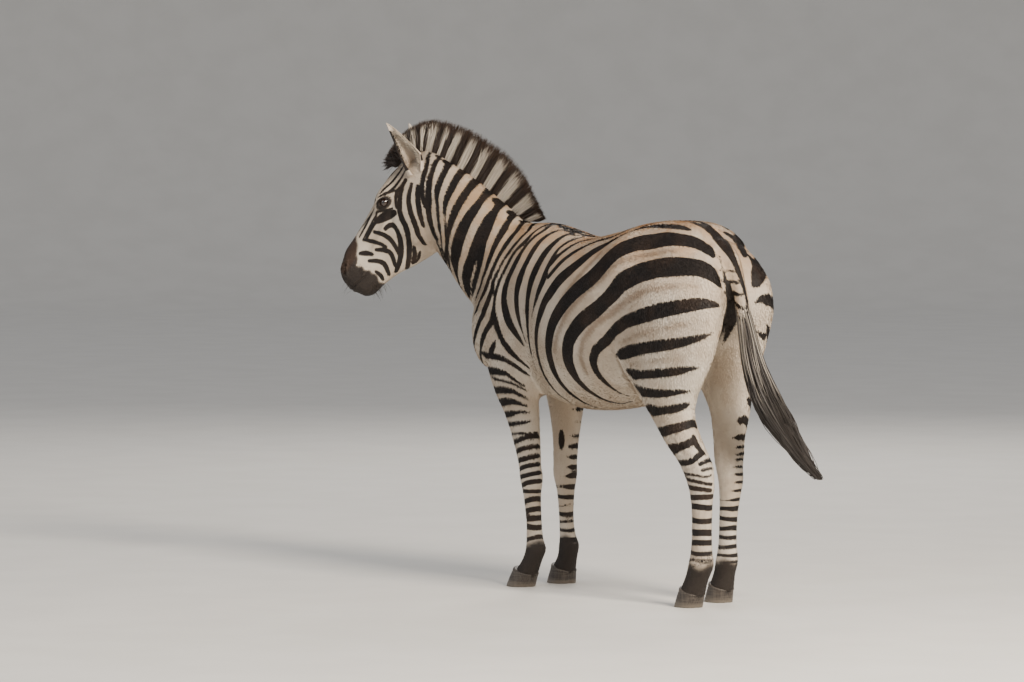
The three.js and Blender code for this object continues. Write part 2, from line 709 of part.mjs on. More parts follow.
// A leaf rolled into a funnel: nearly closed at the root, widest a third of the way up, pointed at the tip.
// With a sweep of 1 the front edge runs straight from root to tip and only the rear edge bulges.
function earSolid({ root, tip, openTo, sweep }) {
  const axis = unit(sub(tip, root));
  const face = squared(openTo, axis);
  const back = squared(scale(forward, -1), axis);
  const side = cross(axis, face);
  const length = Math.hypot(...sub(tip, root));
  const stations = 8;
  const across = 6;
  const rings = [];
  for (let n = 0; n <= stations; n += 1) {
    const u = n / stations;
    const half = EAR_HALF_WIDTH * 1.35 * Math.min(1, 0.65 + 1.2 * u) * (1 - u) ** 0.8 + 2.5;
    const spread = radians(150 - 92 * Math.min(1, 1.3 * u));
    const wall = EAR_WALL * (1 - 0.45 * u);
    const radius = half / Math.sin(Math.min(spread, Math.PI / 2));
    const middle = add(add(root, scale(axis, length * u)), add(scale(back, half * sweep), scale(face, radius * 0.5)));
    const arc = (r) => Array.from({ length: across + 1 }, (_, i) => {
      const angle = -spread + (2 * spread * i) / across;
      return add(middle, add(scale(side, r * Math.sin(angle)), scale(face, -r * Math.cos(angle))));
    });
    rings.push([...arc(radius), ...arc(Math.max(radius - wall, 0.5)).reverse()]);
  }
  return outward(rings);
}

const openLeft = add(scale(HEAD_LEFT, 0.9), scale(forward, -0.35));
const openRight = add(scale(HEAD_LEFT, -0.9), scale(forward, 0.25));
const grownHead = rawHead(JOINT_GAP);
const grownNeck = rawNeck(JOINT_GAP);
const grownTrunk = rawTrunk(JOINT_GAP);
const earTips = { left: onHead(-29, 114, 81), right: onHead(-43, 94, -86) };
const earRoots = { left: onHead(80, -68, 58), right: onHead(76, -68, -55) };
const earSolids = {
  left: earSolid({ root: earRoots.left, tip: earTips.left, openTo: openLeft, sweep: 1 }),
  right: earSolid({ root: earRoots.right, tip: earTips.right, openTo: openRight, sweep: 0.35 }),
};
const ears = {
  left: earSolids.left.subtract(grownHead).subtract(grownNeck),
  right: earSolids.right.subtract(grownHead).subtract(grownNeck),
};

// ---------------------------------------------------------------- mane

// the crest of the neck, and the free edge of the hair standing on it
const MANE_ROWS = [
  [-1108, -219, 1490, -1140, -238, 1508],
  [-1094, -210, 1514, -1133, -234, 1540],
  [-1077, -200, 1540, -1106, -217, 1583],
  [-1049, -184, 1560, -1066, -194, 1628],
  [-1007, -161, 1562, -1003, -159, 1660],
  [-972, -145, 1549, -943, -131, 1662],
  [-926, -123, 1525, -880, -101, 1645],
  [-881, -101, 1492, -821, -73, 1622],
  [-833, -79, 1459, -764, -48, 1589],
  [-781, -56, 1424, -703, -24, 1551],
  [-731, -35, 1386, -640, -6, 1498],
  [-682, -17, 1353, -583, 0, 1437],
  [-634, -5, 1326, -541, 0, 1377],
  [-585, 0, 1306, -512, 0, 1334],
  [-535, 0, 1300, -496, 0, 1310],
];
const maneRings = MANE_ROWS.map((row, n) => {
  const base = row.slice(0, 3);
  const rise = sub(row.slice(3), base);
  const next = MANE_ROWS[Math.min(n + 1, MANE_ROWS.length - 1)];
  const prev = MANE_ROWS[Math.max(n - 1, 0)];
  const side = unit(cross(sub(next, prev), [0, 0, 1]));
  const pair = (share, half) => [-1, 1].map((s) => add(add(base, scale(rise, share)), scale(side, s * half)));
  const half = MANE_THICKNESS / 2;
  const root = pair(-45 / Math.hypot(...rise), half);
  const middle = pair(0.45, half * 0.82);
  const crown = pair(0.85, half * 0.6);
  const edge = pair(1, half * 0.28);
  return [root[0], middle[0], crown[0], edge[0], edge[1], crown[1], middle[1], root[1]];
});
let mane = outward(maneRings).subtract(grownHead).subtract(grownNeck).subtract(grownTrunk);
mane = mane.subtract(earSolids.left).subtract(earSolids.right);

// ---------------------------------------------------------------- tail

// x, y, z, half width, half depth
const DOCK_ROWS = [
  [440, 0, 1205, 30, 34],
  [500, 0, 1222, 31, 32],
  [564, -6, 1182, 29, 29],
  [598, -4, 1088, 26, 26],
  [612, 4, 1010, 25, 25],
  [619, 14, 945, 24, 24],
];
const HAIR_ROWS = [
  [619, 14, 951, 26, 26],
  [631, 29, 853, 31, 31],
  [645, 48, 780, 36, 36],
  [659, 66, 721, 39, 39],
  [679, 93, 655, 38, 38],
  [702, 123, 590, 32, 31],
  [734, 166, 512, 21, 20],
  [760, 201, 458, 9, 9],
  [770, 213, 440, 3, 3],
];

function tailSolid(rows, sides, steps) {
  const fine = smoothRows(rows, steps);
  const rings = fine.map((row, n) => {
    const along = unit(sub(fine[Math.min(n + 1, fine.length - 1)], fine[Math.max(n - 1, 0)]));
    const u = squared([0, 1, 0], along);
    const v = cross(along, u);
    return Array.from({ length: sides }, (_, i) => {
      const angle = (2 * Math.PI * i) / sides;
      return add(row.slice(0, 3), add(scale(u, row[3] * Math.cos(angle)), scale(v, row[4] * Math.sin(angle))));
    });
  });
  return outward(rings);
}

const tailHair = tailSolid(HAIR_ROWS, 12, 1);
const dockEnd = unit(sub(HAIR_ROWS[1], HAIR_ROWS[0]));
const dockCut = { point: DOCK_ROWS.at(-1).slice(0, 3), normal: dockEnd };
const tailDock = tailSolid(DOCK_ROWS, 12, 1).subtract(grownTrunk).intersect(behind(dockCut, -JOINT_GAP));
const tailLock = tailHair.intersect(shifted(dockCut, JOINT_GAP));

// ---------------------------------------------------------------- named parts

const COLOURS = {
  coat: { color: 0xd8cdbd, roughness: 0.85 },
  shank: { color: 0xc9bdac, roughness: 0.85 },
  hair: { color: 0x3b312b, roughness: 0.8 },
  tail: { color: 0x5a5048, roughness: 0.8 },
  ear: { color: 0xcbbba4, roughness: 0.85 },
  eye: { color: 0x1a120d, roughness: 0.12 },
  horn: { color: 0x4a443e, roughness: 0.6 },
};

const zebra = new THREE.Group();

// Keeps the largest body when a cut leaves crumbs behind.
function whole(made) {
  const bodies = made.decompose();
  return bodies.reduce((best, body) => (body.volume() > best.volume() ? body : best));
}

function place(name, made, colour) {
  const { vertProperties, triVerts } = whole(made).getMesh();
  const geometry = new THREE.BufferGeometry();
  geometry.setAttribute('position', new THREE.BufferAttribute(Float32Array.from(vertProperties), 3));
  geometry.setIndex([...triVerts]);
  geometry.translate(...STANCE_SHIFT);
  geometry.computeVertexNormals();
  const mesh = new THREE.Mesh(geometry, new THREE.MeshStandardMaterial({ metalness: 0, ...colour }));
  mesh.name = name;
  zebra.add(mesh);
}

place('trunk', trunk, COLOURS.coat);
place('neck', neck, COLOURS.coat);
place('head', head, COLOURS.coat);
place('mane', mane, COLOURS.hair);
place('tail_dock', tailDock, COLOURS.coat);
place('tail_tuft', tailLock, COLOURS.tail);
for (const side of ['left', 'right']) {
  place(`ear_${side}`, ears[side], COLOURS.ear);
  place(`eye_${side}`, eyes[side], COLOURS.eye);
}
for (const [name, { upper, lower }] of Object.entries(legs)) {
  place(`${name}_upper_leg`, upper, COLOURS.coat);
  place(`${name}_lower_leg`, lower, COLOURS.shank);
  place(`${name}_hoof`, hoofSolid(HOOVES[name]), COLOURS.horn);
}

export default zebra;
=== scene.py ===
"""Looks of a standing plains zebra, life size.

One skin is drawn from a smooth field of sections, muscles and folds, painted with its stripes, and covered
with short tufts.  The ears are joined into the skin; mane, tail, ear hair, eyes, hooves, lashes and whiskers
are pieces of their own.  The body is drawn in millimetres in the animal's own frame: +X to the tail, -Y to
its left side, +Z up.
"""
import logging
import math
from dataclasses import dataclass, field
from enum import Enum
from typing import Callable, Iterable, Sequence

import bmesh
import bpy
import numpy as np
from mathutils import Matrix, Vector
from mathutils.bvhtree import BVHTree


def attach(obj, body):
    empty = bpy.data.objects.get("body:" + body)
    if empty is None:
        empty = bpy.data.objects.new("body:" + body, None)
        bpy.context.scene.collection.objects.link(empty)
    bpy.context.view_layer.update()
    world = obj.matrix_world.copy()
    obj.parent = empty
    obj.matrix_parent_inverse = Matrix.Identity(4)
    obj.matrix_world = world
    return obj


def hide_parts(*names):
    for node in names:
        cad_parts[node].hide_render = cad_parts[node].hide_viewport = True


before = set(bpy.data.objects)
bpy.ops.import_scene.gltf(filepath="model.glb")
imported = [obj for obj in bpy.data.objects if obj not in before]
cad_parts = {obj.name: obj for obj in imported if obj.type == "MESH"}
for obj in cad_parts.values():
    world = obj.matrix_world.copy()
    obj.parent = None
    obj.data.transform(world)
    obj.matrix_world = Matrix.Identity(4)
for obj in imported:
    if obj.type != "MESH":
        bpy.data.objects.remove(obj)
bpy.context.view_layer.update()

logging.basicConfig(level=logging.INFO, format="%(relativeCreated)6d ms  %(message)s")
log = logging.getLogger("zebra")

Array = np.ndarray
Field = Callable[[Array], Array]

MM = 0.001
STANCE_SHIFT = np.array([260.0, 43.0, 0.0])
ROOT = "root"
BAKE_UV = "OFBake"
TUFT_PATCH = 0.003


def unit(v: Sequence[float]) -> Array:
    """The vector at length one."""
    v = np.asarray(v, float)
    return v / np.linalg.norm(v)


def unit_rows(v: Array) -> Array:
    """Every row of an array of vectors at length one."""
    return v / np.maximum(np.linalg.norm(v, axis=1, keepdims=True), 1e-9)


def smoothstep(low: float, high: float, x: Array) -> Array:
    """0 below low, 1 above high, and a smooth rise between."""
    t = np.clip((np.asarray(x, float) - low) / (high - low), 0.0, 1.0)
    return t * t * (3 - 2 * t)


def to_scene(p: Array) -> Array:
    """Body millimetres to the row frame's metres."""
    return (np.asarray(p, float) + STANCE_SHIFT) * MM


# ------------------------------------------------------------------ head frame

POLL = np.array([-1050.0, -180.0, 1558.0])
HEAD_YAW = math.radians(33)
HEAD_PITCH = math.radians(53)
FORWARD = np.array([-math.cos(HEAD_YAW), -math.sin(HEAD_YAW), 0.0])
DOWN_FACE = FORWARD * math.cos(HEAD_PITCH) + np.array([0, 0, -math.sin(HEAD_PITCH)])
OFF_FACE = FORWARD * math.sin(HEAD_PITCH) + np.array([0, 0, math.cos(HEAD_PITCH)])
HEAD_LEFT = np.array([-FORWARD[1], FORWARD[0], 0.0])
HEAD_AXES = np.array([DOWN_FACE, OFF_FACE, HEAD_LEFT])


def on_head(down: float, off: float, left: float = 0.0) -> Array:
    """A point given along the face, up from it and out to the left."""
    return POLL + DOWN_FACE * down + OFF_FACE * off + HEAD_LEFT * left


def head_place(p: Array) -> Array:
    """Head coordinates (down the face, off it, to the left) of body points."""
    return (p - POLL) @ HEAD_AXES.T


# ------------------------------------------------------------------ field shapes

def smooth_rows(rows: Sequence[Sequence[float]], steps: int) -> Array:
    """Smooth curve through table rows.

    Args:
        rows: the rows of a table of sections.
        steps: how many pieces to make of each gap.

    Returns:
        The rows of the smoothed table.
    """
    table = np.asarray(rows, float)
    table = np.vstack([2 * table[0] - table[1], table, 2 * table[-1] - table[-2]])
    out = []
    for n in range(1, len(table) - 2):
        p0, p1, p2, p3 = table[n - 1:n + 3]
        for t in np.arange(steps) / steps:
            out.append(0.5 * (2 * p1 + (p2 - p0) * t + (2 * p0 - 5 * p1 + 4 * p2 - p3) * t * t
                              + (3 * p1 - p0 - 3 * p2 + p3) * t ** 3))
    out.append(table[-2])
    return np.array(out)


def blend(a: Array, b: Array, softness: float) -> Array:
    """Smooth union of two fields."""
    h = np.maximum(softness - np.abs(a - b), 0.0) / softness
    return np.minimum(a, b) - h * h * softness * 0.25


def carve(a: Array, hole: Array, softness: float) -> Array:
    """Field a with the hole taken out of it, its edge rounded."""
    return -blend(-a, hole, softness)


def section_distance(x: Array, y: Array, ds: Array, w: Array, r: Array, cap: Array, power: float) -> Array:
    """About the distance to a section's outline.

    Args:
        x: sideways offset.
        y: upward offset.
        ds: distance beyond the end of the sections.
        w: half width.
        r: height above or below the middle.
        cap: how far the rounded end reaches.
        power: 2 for an ellipse, more for a squarer outline.

    Returns:
        The distance, negative inside.
    """
    ring = ((np.abs(x) / w) ** power + (np.abs(y) / r) ** power) ** (2 / power)
    q = np.sqrt(ring + (ds / cap) ** 2)
    inner = -np.minimum(w, r)
    reach = np.sqrt(x * x + y * y + ds * ds)
    return np.where(q > 1e-6, np.maximum(reach * (1 - 1 / np.maximum(q, 1e-6)), inner), inner)


@dataclass
class Sections:
    """Sections square to one straight direction.  Row: place, side offset, up offset, half width, up, down."""

    origin: Array
    along: Array
    up: Array
    rows: Sequence[Sequence[float]]
    power: float = 2.0
    cap: float = 0.8

    def __post_init__(self) -> None:
        """Smooths the table and squares the axes."""
        self.fine = smooth_rows(self.rows, 8)
        self.a = unit(self.along)
        self.u = unit(self.up - (self.up @ self.a) * self.a)
        self.side = np.cross(self.a, self.u)

    def __call__(self, p: Array) -> Array:
        """The field at points p."""
        v = p - self.origin
        s = v @ self.a
        place = self.fine[:, 0]
        at = np.clip(s, place[0], place[-1])
        across, lift, w, top, low = (np.interp(at, place, self.fine[:, i]) for i in range(1, 6))
        y = v @ self.u - lift
        cap = self.cap * np.minimum(w, np.minimum(top, low))
        return section_distance(v @ self.side - across, y, s - at, w, np.where(y > 0, top, low), cap, self.power)


@dataclass
class BentTube:
    """Sections along a bent axis.  Row: x, y, z, half width, upper radius, lower radius."""

    rows: Sequence[Sequence[float]]
    power: float = 2.1
    cap: float = 0.6
    margin: float = 120.0

    def __post_init__(self) -> None:
        """Smooths the table and finds the box in which the tube matters."""
        self.fine = smooth_rows(self.rows, 8)
        reach = self.fine[:, 3:6].max() + self.margin
        self.low = self.fine[:, :3].min(0) - reach
        self.high = self.fine[:, :3].max(0) + reach

    def __call__(self, p: Array) -> Array:
        """The field at points p."""
        out = np.full(len(p), 400.0)
        near = ((p > self.low) & (p < self.high)).all(1)
        q = p[near]
        best = np.full(len(q), 1e9)
        up = np.array([0.0, 0.0, 1.0])
        for a, b in zip(self.fine[:-1], self.fine[1:]):
            d = b[:3] - a[:3]
            length = np.linalg.norm(d)
            u = d / length
            n = unit(up - (up @ u) * u)
            v = q - a[:3]
            raw = v @ u / length
            t = np.clip(raw, 0, 1)
            w, top, low = (a[i] + (b[i] - a[i]) * t for i in (3, 4, 5))
            y = v @ n
            cap = self.cap * np.minimum(w, np.minimum(top, low))
            best = np.minimum(best, section_distance(
                v @ np.cross(u, n), y, (raw - t) * length, w, np.where(y > 0, top, low), cap, self.power))
        out[near] = best
        return out


@dataclass
class Egg:
    """An egg-shaped muscle or bone lying along three directions."""

    centre: Array
    radii: Array
    axes: Array
    softness: float = 20.0

    def __call__(self, p: Array) -> Array:
        """The field at points p."""
        v = (p - self.centre) @ self.axes.T
        q = np.sqrt(((v / self.radii) ** 2).sum(1))
        reach = np.sqrt((v ** 2).sum(1))
        return np.where(q > 1e-6, reach * (1 - 1 / np.maximum(q, 1e-6)), -float(min(self.radii)))


# ------------------------------------------------------------------ tables of the body (mm)

# x, middle height, half width, up, down
TRUNK_ROWS = (
    (-655, 940, 95, 135, 150), (-575, 948, 145, 272, 205), (-470, 950, 180, 330, 258),
    (-340, 950, 218, 320, 285), (-180, 948, 258, 304, 306), (0, 955, 276, 322, 300),
    (150, 985, 264, 324, 290), (290, 1030, 232, 289, 240), (420, 1065, 176, 244, 180),
    (495, 1085, 104, 158, 110),
)
# x, y, z, half width, crest, throat
NECK_ROWS = (
    (-430, 0, 1065, 150, 165, 190), (-560, -8, 1110, 146, 165, 222), (-680, -36, 1175, 128, 152, 222),
    (-800, -80, 1262, 108, 154, 174), (-905, -125, 1340, 94, 153, 136), (-985, -160, 1400, 84, 140, 120),
    (-1030, -180, 1430, 74, 110, 110),
)
# distance down the face, face line, jaw line, half width
HEAD_ROWS = (
    (10, -30, -200, 60), (60, -6, -280, 82), (120, 6, -308, 92), (180, 6, -312, 88), (250, -4, -298, 72),
    (330, -12, -266, 57), (400, -16, -230, 50), (460, -20, -210, 54), (505, -46, -197, 52),
)
# height, x, y, half width, front, back
HIND_LEFT_ROWS = (
    (1225, 368, -86, 48, 80, 90), (1175, 374, -104, 76, 128, 160), (1110, 380, -122, 102, 170, 215),
    (1030, 388, -132, 112, 192, 246), (960, 385, -137, 112, 195, 250), (866, 370, -142, 105, 180, 234),
    (778, 362, -142, 90, 144, 192), (715, 376, -140, 76, 114, 138), (650, 402, -136, 63, 88, 98),
    (565, 452, -126, 55, 78, 82), (505, 492, -116, 50, 65, 76), (470, 510, -112, 46, 61, 67),
    (420, 523, -108, 40, 53, 55), (360, 525, -106, 34, 43, 44), (290, 524, -105, 32, 39, 40),
    (205, 522, -105, 33, 41, 44), (148, 518, -105, 40, 48, 53), (100, 496, -105, 38, 46, 49),
    (50, 472, -105, 44, 50, 48),
)
HIND_RIGHT_ROWS = (
    (1225, 368, 86, 48, 80, 85), (1175, 372, 104, 75, 124, 148), (1110, 378, 118, 99, 165, 196),
    (1030, 382, 127, 105, 190, 208), (960, 374, 130, 102, 190, 200), (866, 360, 134, 96, 170, 172),
    (778, 357, 136, 86, 132, 145), (715, 368, 135, 72, 100, 107), (650, 382, 132, 60, 76, 84),
    (565, 390, 123, 50, 62, 68), (505, 402, 112, 47, 56, 64), (470, 412, 106, 43, 53, 57),
    (420, 428, 100, 39, 49, 51), (360, 428, 96, 33, 40, 41), (290, 423, 94, 30, 35, 36),
    (205, 420, 93, 30, 35, 37), (148, 416, 93, 37, 41, 45), (100, 402, 93, 36, 41, 45),
    (50, 386, 93, 43, 49, 47),
)
FORE_LEFT_ROWS = (
    (1080, -570, -112, 55, 95, 85), (1010, -562, -120, 68, 120, 110), (900, -547, -126, 76, 138, 130),
    (790, -510, -126, 75, 130, 118), (700, -497, -120, 65, 110, 92), (610, -476, -114, 54, 74, 70),
    (520, -459, -108, 45, 55, 55), (440, -449, -103, 39, 43, 45), (392, -443, -100, 40, 44, 44),
    (325, -441, -98, 31, 33, 35), (240, -435, -96, 27, 28, 33), (180, -430, -96, 29, 31, 35),
    (140, -424, -96, 35, 37, 43), (96, -446, -96, 34, 39, 43), (50, -480, -96, 43, 50, 46),
)
FORE_RIGHT_ROWS = (
    (1080, -570, 112, 55, 95, 85), (1010, -562, 120, 68, 120, 110), (900, -556, 126, 76, 135, 130),
    (790, -536, 126, 74, 118, 118), (700, -527, 122, 64, 102, 92), (610, -520, 116, 53, 72, 69),
    (520, -513, 108, 44, 54, 55), (440, -509, 102, 41, 47, 48), (392, -506, 100, 41, 47, 47),
    (325, -503, 100, 31, 33, 34), (240, -500, 100, 26, 28, 30), (180, -493, 100, 28, 31, 33),
    (140, -485, 100, 35, 38, 42), (96, -495, 100, 34, 39, 43), (50, -514, 100, 43, 51, 46),
)
# centre, radii, tip in the side view, softness of the blend
MUSCLES = (
    ((-560, -98, 1020), (85, 72, 235), 20, 70), ((-664, -98, 898), (80, 82, 130), 0, 80),
    ((-440, -135, 885), (105, 66, 150), -12, 60), ((200, -150, 1160), (85, 60, 70), 0, 90),
    ((440, -76, 1115), (110, 82, 112), 0, 100),
)
# down the face, up from it, out to the side; radii the same way; softness
HEAD_MUSCLES = (
    ((196, -40, 58), (50, 30, 27), 34), ((178, -196, 62), (84, 84, 30), 40),
    ((480, -80, 34), (42, 34, 24), 26), ((494, -172, 0), (40, 24, 36), 24),
)
# x, y, z, half width, half depth
DOCK_ROWS = (
    (440, 0, 1205, 30, 34), (500, 0, 1222, 31, 32), (564, -6, 1182, 29, 29), (598, -4, 1088, 26, 26),
    (612, 4, 1010, 25, 25), (619, 14, 945, 24, 24),
)
TAIL_HAIR_ROWS = (
    (619, 14, 951, 26, 26), (631, 29, 853, 31, 31), (645, 48, 780, 36, 36), (659, 66, 721, 39, 39),
    (679, 93, 655, 38, 38), (702, 123, 590, 32, 31), (734, 166, 512, 21, 20), (760, 201, 458, 9, 9),
    (770, 213, 440, 3, 3),
)
# crest of the neck, and the free edge of the hair standing on it
MANE_ROWS = (
    (-1108, -219, 1490, -1140, -238, 1508), (-1094, -210, 1514, -1133, -234, 1540),
    (-1077, -200, 1540, -1106, -217, 1583), (-1049, -184, 1560, -1066, -194, 1628),
    (-1007, -161, 1562, -1003, -159, 1660), (-972, -145, 1549, -943, -131, 1662),
    (-926, -123, 1525, -880, -101, 1645), (-881, -101, 1492, -821, -73, 1622),
    (-833, -79, 1459, -764, -48, 1589), (-781, -56, 1424, -703, -24, 1551), (-731, -35, 1386, -640, -6, 1498),
    (-682, -17, 1353, -583, 0, 1437), (-634, -5, 1326, -541, 0, 1377), (-585, 0, 1306, -512, 0, 1334),
    (-535, 0, 1300, -496, 0, 1310),
)
CORONET_HEIGHT = 58.0
CORONET_TILT = math.radians(17)
CORONET_NORMAL = np.array([math.sin(CORONET_TILT), 0, math.cos(CORONET_TILT)])
# middle of the coronet (x, y), middle of the sole, half length and half width at the coronet and at the sole
HOOVES = {
    "fore_left": ((-478, -96, 58), (-510, -96), (47, 43), (58, 50)),
    "fore_right": ((-512, 100, 58), (-528, 100), (47, 43), (58, 50)),
    "hind_left": ((474, -105, 58), (452, -105), (46, 42), (56, 46)),
    "hind_right": ((388, 93, 58), (372, 93), (45, 42), (56, 46)),
}
FIELD_LOW = np.array([-1480.0, -520.0, 6.0])
FIELD_HIGH = np.array([760.0, 330.0, 1700.0])

EYE_AT = (205.0, -53.0, 66.0)
EYE_RADIUS = 21.0
EYE_LONG = unit((1.0, 0.42, 0.0))       # the slit's direction, in head coordinates
EYE_HALF_LONG = 20.5
EYE_HALF_HIGH = 13.0
NOSTRIL_AT = (498.0, -66.0, 48.0)
NOSTRIL_RADII = (21.0, 8.0, 19.0)
MOUTH_CORNER = (466.0, -148.0)
MOUTH_SLOPE = 0.25


def leg_sections(rows: Sequence[Sequence[float]]) -> Sections:
    """A leg's field from rows of height, x, y, half width, front and back."""
    table = [(-z, y, -x, w, front, back) for z, x, y, w, front, back in rows]
    return Sections(np.zeros(3), np.array([0, 0, -1.0]), np.array([-1.0, 0, 0]), table, cap=0.7)


class Part(Enum):
    """The regions of the skin, each with its own axis, hair direction and chart."""

    TRUNK = 0
    NECK = 1
    HEAD = 2
    HIND_LEFT = 3
    HIND_RIGHT = 4
    FORE_LEFT = 5
    FORE_RIGHT = 6


@dataclass
class BodyField:
    """The whole animal as one smooth field, with and without the folds of the face."""

    def __post_init__(self) -> None:
        """Builds the parts of the field."""
        self.trunk = Sections(np.zeros(3), np.array([1.0, 0, 0]), np.array([0, 0, 1.0]),
                              [(x, 0, z, w, up, down) for x, z, w, up, down in TRUNK_ROWS], 2.2, 0.5)
        self.neck = BentTube(NECK_ROWS)
        self.dock = BentTube([(x, y, z, w, d, d) for x, y, z, w, d in DOCK_ROWS], 2.0, 0.4, 70)
        rows = []
        for a, face, jaw, w in HEAD_ROWS:
            middle = face - 0.45 * (face - jaw)
            rows.append((a, 0, middle, w, face - middle, middle - jaw))
        self.head = Sections(POLL, DOWN_FACE, OFF_FACE, rows, 2.3, 0.95)
        self.legs = {
            Part.HIND_LEFT: (leg_sections(HIND_LEFT_ROWS), 80), Part.HIND_RIGHT: (leg_sections(HIND_RIGHT_ROWS), 80),
            Part.FORE_LEFT: (leg_sections(FORE_LEFT_ROWS), 45), Part.FORE_RIGHT: (leg_sections(FORE_RIGHT_ROWS), 45),
        }
        self.head_eggs = []
        for (a, b, c), radii, softness in HEAD_MUSCLES:
            for side in ((1, -1) if c else (1,)):
                self.head_eggs.append(Egg(on_head(a, b, c * side), np.array(radii, float), HEAD_AXES, softness))
        self.body_eggs = []
        for centre, radii, tip, softness in MUSCLES:
            c, s = math.cos(math.radians(tip)), math.sin(math.radians(tip))
            axes = np.array([(c, 0, s), (0, 1, 0), (-s, 0, c)])
            for side in (1, -1):
                at = np.array([centre[0], side * centre[1], centre[2]], float)
                self.body_eggs.append(Egg(at, np.array(radii, float), axes, softness))

    def smooth(self, p: Array) -> Array:
        """The field of the whole animal without the folds of the face, closed inside the hooves."""
        f = blend(self.flesh(p), self.dock(p), 30)
        for (x, y, _), *_ in HOOVES.values():
            low = (p[:, 2] < 150) & (np.abs(p[:, 0] - x) < 90) & (np.abs(p[:, 1] - y) < 90)
            under = (p[:, 0] - x) * CORONET_NORMAL[0] + (p[:, 2] - CORONET_HEIGHT) * CORONET_NORMAL[2]
            f = np.where(low, np.maximum(f, -under - 9), f)
        return f

    def flesh(self, p: Array) -> Array:
        """The field of trunk, neck, head and legs."""
        f = blend(self.trunk(p), self.neck(p), 110)
        f = blend(f, self.head(p), 40)
        for egg in self.head_eggs + self.body_eggs:
            f = blend(f, egg(p), egg.softness)
        for leg, softness in self.legs.values():
            f = blend(f, leg(p), softness)
        return f

    def head_only(self, p: Array) -> Array:
        """The field near the head, with lids, nostrils, lips and folds.

        Args:
            p: points on or near the head.

        Returns:
            The field, negative inside.
        """
        f = blend(self.neck(p), self.head(p), 40)
        for egg in self.head_eggs:
            f = blend(f, egg(p), egg.softness)
        h = head_place(p)
        h[:, 2] = np.abs(h[:, 2])
        return self.face_folds(f, h)

    @staticmethod
    def face_folds(f: Array, h: Array) -> Array:
        """Adds the folds of the face to the head's field.

        Args:
            f: the smooth field.
            h: the points in head coordinates, with the sideways one made positive.

        Returns:
            The field with lids, nostrils, mouth and folds.
        """
        # eyelids round the ball of the eye, open along a pointed slit
        w = h - np.array(EYE_AT)
        reach = np.sqrt((w ** 2).sum(1))
        v1 = w @ EYE_LONG
        v2 = w @ np.array((-EYE_LONG[1], EYE_LONG[0], 0.0))
        f = blend(f, reach - (EYE_RADIUS + 3.4), 9)
        q = ((np.abs(v1) / EYE_HALF_LONG) ** 1.7 + (np.abs(v2 + 1.0) / EYE_HALF_HIGH) ** 1.7) ** (1 / 1.7)
        near = np.exp(-(reach / 46.0) ** 4)
        upper = smoothstep(-4, 8, v2)
        f = f + near * (2.2 * np.exp(-((q - 1.95) / 0.20) ** 2) * upper
                        + 1.3 * np.exp(-((q - 2.55) / 0.22) ** 2) * upper
                        + 1.1 * np.exp(-((q - 2.0) / 0.3) ** 2) * (1 - upper))
        f = f - near * 1.2 * np.exp(-((q - 1.18) / 0.16) ** 2)
        slit = np.maximum((q - 1.0) * 11.0, EYE_RADIUS - 7.0 - reach)
        slit = np.maximum(slit, 4.0 - w[:, 2])
        f = carve(f, slit, 2.0)
        # nostril: a deep comma with a raised rim
        flare = unit((1.0, -0.75, 0.0))
        n = h - np.array(NOSTRIL_AT)
        n1 = n @ flare
        n2 = n @ np.array((-flare[1], flare[0], 0.0)) + 0.010 * n1 * n1
        qn = np.sqrt((n1 / NOSTRIL_RADII[0]) ** 2 + (n2 / NOSTRIL_RADII[1]) ** 2 + (n[:, 2] / NOSTRIL_RADII[2]) ** 2)
        flat = np.sqrt((n1 / (NOSTRIL_RADII[0] * 1.25)) ** 2 + (n2 / (NOSTRIL_RADII[1] * 1.7)) ** 2)
        f = f - 3.6 * np.exp(-((flat - 1.05) / 0.38) ** 2) * np.exp(-(n[:, 2] / 30) ** 4)
        f = carve(f, (qn - 1) * 8.0, 4.0)
        # mouth: a groove that rises to the front, with full lips on both sides
        a, b, c = h.T
        line = MOUTH_CORNER[1] + (a - MOUTH_CORNER[0]) * MOUTH_SLOPE
        inside = smoothstep(MOUTH_CORNER[0] - 10, MOUTH_CORNER[0] + 10, a)
        f = f + 4.2 * inside * np.exp(-((b - line) / 2.8) ** 2)
        f = f - 2.0 * inside * (np.exp(-((b - line - 9) / 7) ** 2) + np.exp(-((b - line + 9) / 7) ** 2))
        corner = np.hypot(a - MOUTH_CORNER[0] + 4, b - MOUTH_CORNER[1])
        f = f - 1.6 * np.exp(-((corner - 14) / 6) ** 2) * (a < MOUTH_CORNER[0] + 4)
        # ridge of the cheek, hollow above it, edge of the jaw muscle
        ridge = b + 92 + 0.18 * (a - 250)
        span = smoothstep(225, 260, a) * (1 - smoothstep(355, 410, a)) * smoothstep(20, 40, c)
        f = f - 3.2 * span * np.exp(-(ridge / 10) ** 2) + 2.0 * span * np.exp(-((ridge - 24) / 16) ** 2)
        jaw = np.hypot((a - 168) / 92, (b + 190) / 104)
        side = smoothstep(35, 60, c)
        f = f + 3.0 * side * np.exp(-((jaw - 1.06) / 0.09) ** 2) * smoothstep(60, 150, a)
        # small folds of the chin and of the lips
        f = f + 0.5 * inside * np.sin(a * 0.9 + 2 * np.sin(b * 0.15)) * np.exp(-((b - line) / 26) ** 2)
        return f

    def parts(self, p: Array) -> Array:
        """How far each point is from each part, one column for each Part."""
        columns = [self.trunk(p), self.neck(p), self.head(p)]
        columns += [self.legs[part][0](p) for part in list(Part)[3:]]
        return np.stack(columns, 1)


def gradient(f: Field, p: Array, step: float = 0.6) -> Array:
    """The direction in which a field rises."""
    out = np.empty_like(p)
    for i in range(3):
        d = np.zeros(3)
        d[i] = step
        out[:, i] = f(p + d) - f(p - d)
    return out / (2 * step)


